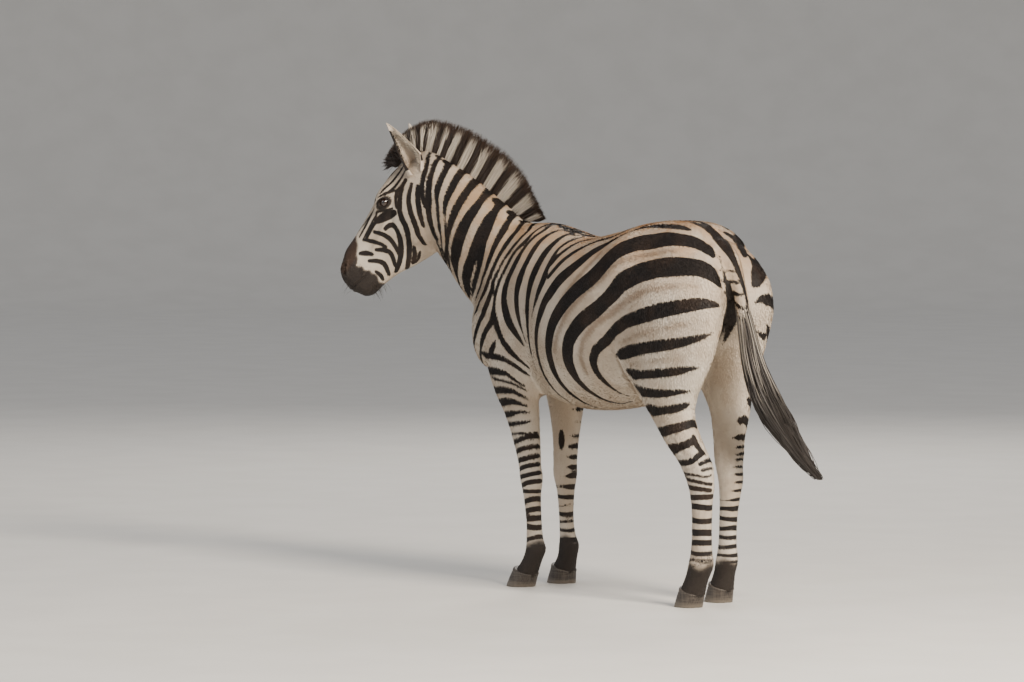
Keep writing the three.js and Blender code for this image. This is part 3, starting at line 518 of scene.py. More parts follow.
def pull_to(f: Field, p: Array, limit: float) -> Array:
    """Points moved on to the field's surface, no further than the limit."""
    g = gradient(f, p)
    move = -f(p)[:, None] * g / np.maximum((g ** 2).sum(1), 0.05)[:, None]
    far = np.linalg.norm(move, axis=1)
    return p + move * np.minimum(1, limit / np.maximum(far, 1e-9))[:, None]


@dataclass
class SurfaceNet:
    """Turns a field into a mesh of quads on a regular grid, looking only near the surface."""

    low: Array
    high: Array
    cell: float
    block: int = 4
    batch: int = 200000

    def sample(self, f: Field, p: Array) -> Array:
        """The field at many points, in batches."""
        return np.concatenate([f(p[i:i + self.batch]) for i in range(0, len(p), self.batch)])

    def extract(self, f: Field) -> tuple[Array, Array]:
        """Finds the surface.

        Args:
            f: the field.

        Returns:
            Vertices and quads, facing out.
        """
        blocks = np.ceil((self.high - self.low) / self.cell / self.block).astype(int)
        size = blocks * self.block + 1
        g = np.stack(np.meshgrid(*[np.arange(k) for k in blocks], indexing="ij"), -1).reshape(-1, 3)
        value = self.sample(f, self.low + (g + 0.5) * self.cell * self.block)
        g = g[np.abs(value) < self.cell * self.block * 0.87 * 1.6 + 8]

        def key(ijk: Array) -> Array:
            """One number for each grid point."""
            return (ijk[..., 0] * size[1] + ijk[..., 1]) * size[2] + ijk[..., 2]

        def cube(n: int) -> Array:
            """All the places in a cube n wide."""
            return np.stack(np.meshgrid(*[np.arange(n)] * 3, indexing="ij"), -1).reshape(-1, 3)

        k = np.unique(key((g[:, None] * self.block + cube(self.block + 1)[None]).reshape(-1, 3)))
        ijk = np.stack([k // (size[1] * size[2]), (k // size[2]) % size[1], k % size[2]], 1)
        v = self.sample(f, self.low + ijk * self.cell)
        cells = (g[:, None] * self.block + cube(self.block)[None]).reshape(-1, 3)
        corners = cube(2)
        index = np.searchsorted(k, key(cells[:, None] + corners[None]))
        inside = v[index] < 0
        mixed = inside.any(1) & ~inside.all(1)
        cells, index, inside = cells[mixed], index[mixed], inside[mixed]
        cv = v[index]
        total, count = np.zeros((len(cells), 3)), np.zeros(len(cells))
        for a in range(8):
            for b in range(a + 1, 8):
                if np.abs(corners[a] - corners[b]).sum() != 1:
                    continue
                cross = inside[:, a] != inside[:, b]
                t = np.where(cross, cv[:, a] / np.where(cross, cv[:, a] - cv[:, b], 1), 0)
                total += (corners[a] + (corners[b] - corners[a]) * t[:, None]) * cross[:, None]
                count += cross
        verts = self.low + (cells + total / count[:, None]) * self.cell
        order = np.argsort(key(cells))
        keys = key(cells)[order]

        def cell_index(c: Array) -> Array:
            """Which mixed cell lies at c, or -1."""
            q = key(c)
            i = np.minimum(np.searchsorted(keys, q), len(keys) - 1)
            return np.where(keys[i] == q, order[i], -1)

        quads = []
        steps = np.eye(3, dtype=int)
        for axis in range(3):
            u, w = steps[(axis + 1) % 3], steps[(axis + 2) % 3]
            far = int(np.where((corners == steps[axis]).all(1))[0][0])
            cross = inside[:, 0] != inside[:, far]
            c, out = cells[cross], inside[cross, 0]
            q = np.stack([cell_index(c), cell_index(c - u), cell_index(c - u - w), cell_index(c - w)], 1)
            q[~out] = q[~out][:, ::-1]
            quads.append(q[(q >= 0).all(1)])
        return verts, np.concatenate(quads)


# ------------------------------------------------------------------ camera

@dataclass(frozen=True)
class ViewFrame:
    """The camera: where it stands, how it is turned, and the rays through its frame."""

    place: tuple[float, float, float] = (14784.28899, -11422.30286, 1750.0)
    azimuth: float = 53.0
    tilt: float = 2.6575
    focal: float = 5300.0
    width: float = 1024.0
    height: float = 682.0

    def axes(self) -> tuple[Array, Array, Array]:
        """Right, up and forward."""
        a, t = math.radians(self.azimuth), math.radians(self.tilt)
        level = np.array([-math.sin(a), math.cos(a), 0])
        z = np.array([0, 0, 1.0])
        return (np.array([math.cos(a), math.sin(a), 0]), level * math.sin(t) + z * math.cos(t),
                level * math.cos(t) - z * math.sin(t))

    def ray(self, x: float, y: float) -> tuple[Array, Array]:
        """Start and direction, in body millimetres, of the ray through a point of the frame."""
        right, up, ahead = self.axes()
        d = ahead + right * (x - self.width / 2) / self.focal + up * (self.height / 2 - y) / self.focal
        return np.array(self.place) - STANCE_SHIFT, unit(d)

    def build(self) -> None:
        """Makes the camera."""
        data = bpy.data.cameras.new("view")
        data.sensor_width = 36.0
        data.lens = self.focal / self.width * 36.0
        data.clip_end = 200.0
        camera = bpy.data.objects.new("view", data)
        camera.location = [v * MM for v in self.place]
        camera.rotation_euler = (math.radians(90 - self.tilt), 0, math.radians(self.azimuth))
        bpy.context.scene.collection.objects.link(camera)
        bpy.context.scene.camera = camera


VIEW = ViewFrame()

# ------------------------------------------------------------------ meshes


@dataclass
class MeshData:
    """A mesh in body millimetres with what is painted on it."""

    verts: Array
    faces: Sequence[Sequence[int]]
    floats: dict[str, Array] = field(default_factory=dict)
    vectors: dict[str, Array] = field(default_factory=dict)
    uv: Array | None = None          # one row for each corner of each face

    def make(self, name: str, material: bpy.types.Material, smooth: bool = True) -> bpy.types.Object:
        """Makes the object.

        Args:
            name: the piece's name.
            material: its finish.
            smooth: whether its faces are shaded smooth.

        Returns:
            The object, at the origin.
        """
        mesh = bpy.data.meshes.new(name)
        faces = self.faces.tolist() if isinstance(self.faces, np.ndarray) else self.faces
        mesh.from_pydata(to_scene(self.verts).tolist(), [], faces)
        for key, values in self.floats.items():
            mesh.attributes.new(key, "FLOAT", "POINT").data.foreach_set("value", values.astype(np.float32))
        for key, values in self.vectors.items():
            mesh.attributes.new(key, "FLOAT_VECTOR", "POINT").data.foreach_set(
                "vector", values.astype(np.float32).ravel())
        if self.uv is not None:
            mesh.uv_layers.new(name=BAKE_UV).data.foreach_set("uv", self.uv.astype(np.float32).ravel())
        mesh.materials.append(material)
        mesh.polygons.foreach_set("use_smooth", [smooth] * len(mesh.polygons))
        mesh.update()
        piece = bpy.data.objects.new(name, mesh)
        bpy.context.scene.collection.objects.link(piece)
        return piece


def triangle_count(piece: bpy.types.Object) -> int:
    """How many triangles a piece has."""
    return sum(len(face.vertices) - 2 for face in piece.data.polygons)


def report(piece: bpy.types.Object) -> None:
    """Logs a finished piece."""
    log.info("%s: %d triangles", piece.name, triangle_count(piece))


# ------------------------------------------------------------------ markings
# Black bands: the middle line as points of the view's frame, each with the band's width.  The widths of a band
# in ACROSS are measured level across it, and of one in SQUARE at right angles to it.

ACROSS = {
    "a": ((445.5, 140, 9), (442.8, 150, 6), (437, 160, 6), (432.6, 170, 5.2), (429.4, 180, 4.8), (427.5, 190, 4),
          (427.9, 200, 4.2), (427.6, 210, 4.3), (428.7, 220, 5), (432, 230, 5), (435.8, 240, 2.5), (439, 249, 2)),
    "b": ((464, 140, 11), (459, 150, 8), (451.5, 160, 11), (445, 170, 10), (440, 180, 8), (436.5, 190, 7),
          (435.8, 200, 4.5), (437, 210, 4.4), (437.8, 220, 3.5), (439, 230, 3.6), (440.4, 240, 2.8),
          (440.8, 250, 2.5), (444, 258, 2)),
    "c": ((481, 148, 14), (472.5, 160, 9), (464, 170, 12), (455.5, 180, 11), (450, 190, 10), (445.5, 200, 7),
          (444, 210, 4.4), (443.9, 220, 2.7), (445.5, 230, 3.5), (446.2, 240, 4.5), (446.4, 250, 3.2),
          (447.8, 260, 3)),
    "d": ((496, 160, 13), (485.5, 170, 9), (476.5, 180, 13), (467.5, 190, 13), (460.5, 200, 11), (455, 210, 10),
          (451, 220, 8), (448.5, 230, 5.5), (447, 240, 4)),
    "e": ((508.5, 170, 12), (498, 180, 8), (490, 190, 12), (481, 200, 14), (473.5, 210, 13), (466.5, 220, 13),
          (461.5, 230, 13), (458, 240, 12), (455.5, 250, 11), (454, 260, 8), (454.7, 270, 5), (457, 279, 3)),
    "f": ((519, 180, 12), (511, 190, 8), (504, 200, 12), (495.5, 210, 15), (488.5, 220, 15), (484, 230, 16),
          (480, 240, 16), (475, 251, 14), (470, 260, 10), (467, 270, 10), (465, 280, 8), (466.5, 290, 7),
          (469.6, 300, 1.2)),
    "f2": ((482, 244, 9), (481, 252, 7), (480, 260, 5.6), (477.6, 270, 4.8), (474.8, 280, 4.5), (472.3, 290, 3.5),
           (471.5, 297, 2)),
    "g": ((529, 190, 9), (522.5, 200, 7), (518, 210, 8), (508.5, 220, 11), (503, 230, 10), (497, 240, 8),
          (492.3, 250, 5.7), (488.4, 260, 4.8), (485, 270, 3.8), (481.6, 280, 3.2), (478.4, 290, 3.2),
          (474.5, 300, 2.6), (471.7, 310, 1.5)),
    "h": ((533.5, 203, 5), (532.5, 210, 7), (526, 220, 8), (517, 230, 10), (508.5, 240, 7), (501.8, 250, 5.5),
          (496, 260, 4.4), (491.6, 270, 4.3), (488, 280, 4), (484.3, 290, 4.5), (479.5, 300, 3.4), (475.5, 310, 3.4),
          (472, 320, 2)),
    "i": ((538, 218, 7), (528.2, 230, 5.3), (518, 240, 4.4), (509.8, 250, 4.5), (502.8, 260, 3.5), (497.8, 270, 3.5),
          (493, 280, 4), (491, 290, 4), (487.7, 300, 5), (483.4, 310, 5.2), (479.2, 320, 4.7), (475.9, 330, 4.2),
          (473.5, 340, 3.4)),
    "j": ((535.5, 230, 4.6), (528, 237, 5), (525, 241, 7), (515.2, 250, 4), (509, 260, 3.8), (503.8, 270, 3.5),
          (499, 280, 3.8), (495.5, 290, 4), (494, 300, 3), (493, 310, 4.2), (491, 320, 6), (485.5, 330, 4.6),
          (481.6, 340, 4.8), (480, 350, 2.5)),
    "k": ((494, 314, 4), (495, 322, 6), (497, 330, 5.6), (501.4, 340, 5.7), (508.5, 350, 7), (518.6, 360, 5),
          (528, 368, 3)),
    "l": ((553, 224, 8), (543.5, 230, 8), (530, 240, 5), (522, 250, 4.4), (516.2, 260, 5.5), (511.3, 270, 5),
          (506.7, 280, 5), (504.1, 290, 5.8), (503.1, 300, 5.8), (504.5, 310, 6.5), (507.5, 320, 7), (512.8, 330, 6),
          (519.6, 340, 3.7), (523, 346, 2)),
    "m": ((569, 227.5, 8), (563, 228.5, 11), (557, 230, 10), (540, 240, 8), (532.5, 250, 7), (527, 260, 5.8), (522.1, 270, 5.8),
          (518.5, 280, 7), (516.1, 290, 5.8), (515.4, 300, 5.2), (516.2, 310, 4.5), (518.2, 320, 3.5), (521, 330, 2),
          (526, 345, 1.5)),
    "n": ((582, 231, 10), (574.5, 232, 14), (566, 234, 12), (556, 240, 9), (546, 250, 8), (539.5, 260, 7), (534.5, 270, 7),
          (530.5, 280, 7), (528, 290, 6), (526.4, 300, 5.2), (525.9, 310, 5.3), (526.1, 320, 4.2), (526.9, 330, 3.8),
          (527.9, 340, 2.7), (529.7, 350, 2.5), (532, 360, 1.6), (535.3, 370, 1.7)),
    "o": ((592, 234.5, 9), (582, 236.5, 13), (570, 240, 11), (556.3, 250, 4.5), (551, 260, 6), (545.5, 270, 5), (542.5, 280, 7),
          (538.1, 290, 5.8), (534.9, 300, 4.2), (532.1, 310, 2.2), (530.5, 318, 2)),
    "r": ((628, 232, 2.5), (612, 240, 6), (594, 250, 12), (581, 260, 13), (569, 270, 13), (558, 280, 12),
          (551, 290, 10), (544.5, 300, 7), (540.5, 310, 7), (537.5, 320, 5.4), (535.5, 330, 5), (535.2, 340, 4.5),
          (536.1, 350, 3.8), (538, 360, 3.6), (541.1, 370, 3.3), (546, 380, 3.6), (553.3, 390, 3), (565, 400, 2.5),
          (575, 405.5, 2)),
}
SQUARE = {
    "p": ((601, 236.5, 3), (592, 238.5, 3.5), (582.5, 240, 4), (564, 250, 4), (556, 257, 4), (551, 263, 4)),
    "q": ((613, 236, 3.5), (598, 240, 4), (590, 243, 4), (576, 250, 5), (562, 260, 5), (553, 270, 4.5), (548, 276, 4)),
    "s": ((713, 255, 5), (709, 250, 10), (700, 243.5, 11), (690, 240, 12.5), (680, 239, 12), (660, 238.5, 13),
          (640, 241, 14), (628, 245, 13), (620, 248, 12), (606, 260, 12), (597.5, 270, 12), (587.5, 280, 13),
          (575.5, 290, 12), (566, 300, 11), (558.5, 310, 10), (553, 320, 9), (549.5, 330, 8.5), (548, 340, 8),
          (547.5, 350, 7), (549.5, 360, 7), (552.5, 370, 6.5), (557.6, 380, 5), (565.7, 390, 4.5), (579, 400.5, 3.5),
          (600, 409, 3), (610, 410.3, 2.3)),
    "s0": ((630, 231, 1.5), (640, 228, 2.5), (650, 225.5, 5), (660, 225, 6), (670, 225.5, 6.5), (680, 226.7, 5.7),
           (689, 229, 3)),
    "t": ((722, 286, 3), (720, 284, 5), (715, 276, 12), (710, 272, 15), (700, 267.5, 17), (680, 266, 20),
          (660, 267, 21), (640, 272, 20), (630, 277, 18), (620, 282.5, 17), (615, 290, 15), (605.5, 300, 14),
          (595, 310, 15), (582, 320, 15), (573.5, 330, 13), (568, 340, 11.5), (566.5, 350, 11), (567, 360, 10),
          (570.5, 370, 8.5), (576.5, 380, 6), (586.5, 390, 4.5), (603, 400, 3), (610, 402.6, 3), (622, 404.5, 2.5),
          (632, 402, 2)),
    "u": ((722, 305.5, 1.5), (720, 305.5, 3.4), (710, 303.5, 9), (700, 303.5, 13), (680, 306.5, 15), (660, 310, 16),
          (640, 316, 15), (625, 321.5, 13), (618, 327, 12), (614, 330, 10), (606.5, 340, 11), (595, 350, 10),
          (592, 360, 8), (594.5, 370, 6), (600, 378, 5), (610, 387.4, 2.8), (620, 394, 2.2), (629, 397, 1.5)),
    "v": ((716, 331.5, 2), (710, 334, 3.8), (700, 337.5, 7), (680, 342.5, 11), (660, 345.5, 13), (640, 348.5, 13),
          (628, 351.5, 14), (620, 355, 12), (616, 357, 7)),
    "w": ((703, 366.5, 1.5), (700, 367.5, 2), (690, 368.5, 6), (680, 370.5, 9), (660, 373, 10), (640, 374.5, 9),
          (632, 374, 7), (627, 371.5, 4)),
    "x": ((693, 390.5, 2), (680, 391.7, 5.7), (660, 393.5, 9), (648, 393, 9), (640, 391, 7), (637, 388, 4)),
    "y": ((690, 403.5, 3), (684, 405.5, 8), (680, 407.5, 9), (660, 410.5, 9), (650, 410, 8), (647, 409, 5)),
    "z": ((696, 424, 6), (692, 423, 9), (680, 427, 10), (660, 432, 10), (656, 433, 9)),
    "gaskin1": ((661, 451, 6), (669, 450, 10), (680, 446.5, 9.5), (689, 443, 9), (694, 440, 8)),
    "knot": ((694, 437, 6), (697, 445, 6), (702, 451, 5)),
    "gaskin2": ((673, 463.5, 6), (683, 463, 7), (692, 461, 7), (698, 455.5, 7), (704, 452, 6)),
    "hock1": ((700, 464, 5), (706, 461, 5), (711, 459.5, 4.5)),
    "hock2": ((702, 470.5, 4), (708, 468.5, 4), (712.5, 468, 3.5)),
    "gaskin3": ((682.5, 473, 3.4), (694, 474.8, 3.4), (704, 477.3, 3.4), (712, 475, 3)),
    "gaskin4": ((683.5, 478, 4), (696, 481.4, 4.5), (704, 483.5, 4.5), (712, 484.4, 4)),
    "gaskin5": ((686.5, 486.5, 5), (699, 489, 5.5), (711, 490.6, 5)),
    "elbow1": ((490, 352, 7), (493, 346, 5), (495, 340, 2)),
    "elbow2": ((484.5, 354.5, 5.3), (493, 356, 6.5), (502, 358, 5.3), (512, 364, 4.3), (522, 371, 3.8), (528, 376, 2.7)),
    "elbow3": ((487.5, 369.5, 5.3), (497, 371, 7), (506, 373.5, 4.3), (516, 381, 3.3), (524, 386, 2.7)),
    "elbow4": ((493.5, 378.5, 3.4), (503, 380.5, 3.4), (515, 384, 3.3), (527, 391, 2.7)),
    "elbow5": ((493.5, 389.5, 6.5), (503, 389.5, 7.6), (513, 391, 5.3), (525, 397, 3.3), (531, 402, 2.1)),
    "elbow6": ((497.5, 402.5, 6.5), (506, 401, 8.6), (515, 401.5, 5.3), (527, 406, 3.3)),
    "elbow7": ((501.5, 414.5, 6.5), (510, 413.5, 7), (520, 411.5, 4.3), (530, 412, 2.7)),
    "elbow8": ((507, 423.5, 5.9), (517, 423, 5.3), (530, 421, 3.8)),
}
DORSAL = ((679, 220.5, 2), (690, 221.5, 3.5), (700, 224, 5), (708, 228, 6), (716, 233.5, 7.5), (723, 241, 8.5),
          (729, 250, 8.5), (734, 260, 7), (738.5, 270, 5.5), (742.5, 281, 4.5), (746, 292, 4), (748.5, 306, 4),
          (749.5, 318, 3))
FAR_RUMP = {
    "far1": ((725, 232, 3), (731, 235, 5), (737, 240, 6), (740, 248, 4)),
    "far2": ((749, 255, 3), (753.5, 260, 5), (757, 267, 7), (756, 277, 8), (752, 285, 3)),
    "far3": ((754, 304, 2), (759, 300, 6), (765, 298, 10), (769, 299, 12)),
    "far4": ((756, 330.5, 2), (760, 333, 5), (765, 337, 8)),
    # the cleft beside the dock: partly dark skin, partly painted shade in the cleft
    "cleft": ((719.5, 254, 2.5), (721, 264, 2.5), (724.5, 276, 3.5), (729, 290, 6), (731.5, 302, 9), (732.5, 314, 9),
              (730, 326, 8), (726, 337, 5), (722, 346, 2)),
}
DOCK_BARS_AT = (((731, 271), 3.5), ((733, 282), 4.5), ((736, 294), 4.5), ((739, 307), 5), ((743, 320), 4.5))
TO_THE_FRONT = "abcdefghij"       # bands that run on round the throat and the breast
SPINE_SPAN = (-480.0, 500.0)
SPINE_HALF = 11.0
FROM_THE_CREST = "abcdefghi"      # bands that start at the mane
OVER_THE_BACK = "jlmnopqr"        # bands that run on over the back
ROUND_THE_LEG = ("x", "y", "z", "gaskin1", "gaskin2", "gaskin3", "gaskin4", "gaskin5", "elbow2", "elbow3",
                 "elbow4", "elbow5", "elbow6", "elbow7", "elbow8")
LEFT_ONLY = ("gaskin", "knot", "hock", "elbow6", "elbow7", "elbow8")
CHESTNUT = ((561, 431, 4), (561, 436, 7), (561, 443, 7), (561, 449, 3))
# soft brown stripes in the pale bands of the hindquarters, and painted shade along the flank fold (third row)
SHADES = (
    ((673.6, 250.5, 5), (642.6, 254.8, 5), (616.8, 261.7, 5), (599.6, 278.9, 5), (582.4, 294.4, 5), (565.2, 313.3, 5),
     (556, 335, 4), (553.5, 352, 3)),
    ((697.8, 285.8, 4), (670.2, 285.8, 6), (646.1, 289.2, 7), (628.9, 297.8, 8), (611.7, 311.6, 8), (594.4, 323.6, 7),
     (581.5, 340.9, 6), (579.5, 358, 5), (585.8, 373.6, 3)),
    # the first row here is painted shade along the fold of the flank, where the thigh overlaps the belly
    ((616, 361, 2), (621, 371, 3), (628, 382, 4), (636, 394, 3)), ((708, 320.2, 3), (680.5, 323.6, 5), (656.4, 328.8, 5), (635.8, 334, 5), (618.5, 342.6, 3)),
    ((680, 357, 3), (656.4, 359.8, 5), (628.9, 363.2, 4)),
    ((600, 252, 3), (585, 268, 4), (572, 283, 4), (560, 300, 3)),
)
# folds of the body: middle line, half width and depth in millimetres
GROOVES = (
    (((609, 343), (614, 354), (619, 366), (628, 382), (637, 397), (643, 404)), 9, 7.0),
    (((441, 249), (437, 235), (433, 215), (432, 196)), 9, 4.0),
    (((712, 252), (716, 262), (720, 275), (724, 290)), 8, 3.5),
    (((524, 372), (532, 384), (541, 397), (546, 405)), 9, 6.0),
    (((703, 478), (704, 500), (703, 525), (702, 548)), 6, 3.2),
    (((533, 452), (535, 480), (535, 510), (535, 535)), 6, 2.8),
    (((471, 300), (487, 318), (497, 340), (508, 360)), 16, 3.5),
    (((668, 432), (682, 452), (694, 468)), 10, 3.0),
    (((716, 300), (719, 330), (712, 365), (703, 395)), 15, 3.5),
    (((560, 236), (545, 258), (532, 290), (527, 330)), 22, 3.0),
)

# rings of the lower legs: a few points of each ring, front to back, with its width
LEG_RINGS = {
    Part.HIND_LEFT: (
        ((700, 497.5, 6),), ((700, 507.5, 6.5),), ((700, 521, 6),), ((700, 533, 7),), ((699, 543.5, 6),),
        ((698, 553, 4.5),), ((697, 560, 3.5),), ((695, 565.8, 3),),
    ),
    Part.HIND_RIGHT: (
        ((734, 421, 4),), ((733, 437, 7),), ((733, 447, 3.4),), ((733, 453.7, 3.2),), ((734, 460, 3.2),),
        ((734, 467, 3.2),), ((734, 474.5, 3.4),), ((734, 483, 3.4),), ((733, 491, 3.6),), ((735, 500, 4),),
        ((734, 509, 6),), ((733, 519, 5.5),), ((732, 529, 5.5),), ((731, 538, 5),), ((730, 547, 5),),
        ((729, 555.5, 4.5),), ((728, 563, 3.5),),
    ),
    Part.FORE_LEFT: (
        ((510.5, 432.7, 3.7), (516, 433, 2.9)),
        ((518, 440.8, 6.7), (528, 437.5, 7.1), (536, 434.5, 3.7)), ((520, 450.2, 7.3), (529, 448.2, 5.9), (537, 444.5, 4.3)),
        ((522, 459.5, 6.7), (530, 457.2, 5.9), (538, 454.1, 5.9)),
        ((524, 467.7, 5.9), (531, 465.8, 6.1), (539, 463.2, 4.3)),
        ((524, 475.6, 6.5), (532, 474, 5.5), (539, 471.8, 4.3)),
        ((525, 483.9, 5.9), (532, 482.8, 5.5), (539, 480.9, 5.2)),
        ((525, 491.5, 4.4), (533, 490.9, 5.2), (540, 490.6, 4)),
        ((525, 501.9, 7.1), (533, 499.5, 6.1), (540, 499.9, 4.6)),
        ((526, 511.8, 6.1), (533, 509.8, 7.3), (540, 508.1, 4.6)),
        ((526, 520.5, 6.7), (533, 520.4, 7.1), (540, 516.8, 5.5)),
        ((526, 528.9, 5.2), (534, 529.6, 6.7), (540, 525.2, 5.5)),
        ((527, 540.8, 4.9), (534, 538, 4.9), (541, 534.9, 6.5)),
    ),
    Part.FORE_RIGHT: (
        ((578, 409, 4.6),), ((577, 422, 2.6),), ((577, 435, 4),), ((576, 446, 6.1),), ((576, 457, 5.5),),
        ((575, 467, 5.8),), ((575, 476, 6.9),), ((574, 487, 6.3),), ((573, 497, 5.5),), ((573, 505.5, 2.9),),
        ((573, 514, 5.2),), ((572, 521.5, 4),), ((571, 530, 4.6),), ((570, 540, 5.8),),
    ),
}
DARK_BELOW = {Part.HIND_LEFT: 148, Part.HIND_RIGHT: 148, Part.FORE_LEFT: 166, Part.FORE_RIGHT: 166}
MUZZLE_EDGE = ((-215, -200, -172, -140, -101, -92, -73, -42, -10), (465, 459, 443, 450, 458, 448, 425, 391, 385))

# lines of the face in tenths of a frame point, from a corner at (330, 110); the last number is the width
FACE = (
    (((740, 540), (700, 610), (640, 690), (570, 760), (500, 830)), 16),
    (((715, 510), (670, 580), (610, 650), (550, 715), (490, 780)), 14),
    (((700, 470), (650, 540), (590, 610), (530, 680), (485, 740)), 13),
    (((755, 585), (715, 670), (665, 740), (600, 810), (540, 850)), 15),
    (((430, 1000), (390, 1080), (340, 1180), (290, 1270)), 15),
    (((455, 880), (425, 950), (380, 1040), (330, 1130), (285, 1210)), 13),
    (((470, 1010), (430, 1100), (380, 1200), (330, 1290)), 14),
    (((640, 1030), (590, 1050), (530, 1075), (470, 1110)), 44),
    (((470, 1110), (430, 1150), (390, 1220), (360, 1290)), 20),
    (((620, 985), (560, 1005), (500, 1010), (455, 1030)), 14),
    (((660, 800), (600, 820), (530, 840), (480, 870)), 14),
    (((700, 760), (660, 830), (650, 920), (660, 980)), 18),
    (((750, 700), (715, 770), (700, 850), (690, 1000), (710, 1080), (750, 1150), (780, 1250), (790, 1350), (790, 1480),
      (770, 1590)), 30),
    (((810, 740), (790, 820), (780, 900), (795, 1000), (830, 1100), (860, 1180), (880, 1250), (920, 1310),
      (950, 1350)), 28),
    (((870, 760), (870, 850), (880, 950), (900, 1060), (930, 1160)), 28),
    (((990, 420), (970, 510), (950, 600), (925, 680), (910, 750), (920, 860), (940, 960)), 26),
    (((1060, 500), (1020, 600), (990, 700), (980, 800), (980, 900), (980, 1000), (990, 1100), (1020, 1200),
      (1060, 1300)), 32),
    (((550, 1190), (590, 1150), (640, 1150), (680, 1220), (700, 1300), (710, 1380), (710, 1450), (690, 1540),
      (660, 1620)), 28),
    (((440, 1220), (520, 1240), (600, 1290), (650, 1360), (690, 1450)), 24),
    (((330, 1300), (400, 1310), (480, 1330), (560, 1370)), 20),
    (((460, 1400), (530, 1400), (600, 1420), (630, 1480), (650, 1560)), 24),
    (((300, 1435), (360, 1430), (420, 1445)), 26),
    (((390, 1510), (470, 1510), (540, 1530), (570, 1590), (590, 1650)), 24),
    (((460, 1620), (510, 1650), (530, 1700)), 22),
    (((840, 1370), (850, 1450), (830, 1540)), 22),
    (((900, 1420), (890, 1480), (860, 1530)), 16),
)
FACE_CORNER = np.array([330.0, 110.0])
FACE_WIDTH = 2.3


@dataclass
class Band:
    """A black band on the skin: points of its middle line in body millimetres, and half widths."""

    line: Array
    half: Array

    def fine(self, step: float = 4.0) -> tuple[Array, Array]:
        """The band as close-set points with half widths."""
        gaps = np.linalg.norm(np.diff(self.line, axis=0), axis=1)
        along = np.concatenate([[0], np.cumsum(gaps)])
        at = np.linspace(0, along[-1], max(2, int(along[-1] / step)))
        line = np.stack([np.interp(at, along, self.line[:, i]) for i in range(3)], 1)
        return line, np.interp(at, along, self.half)


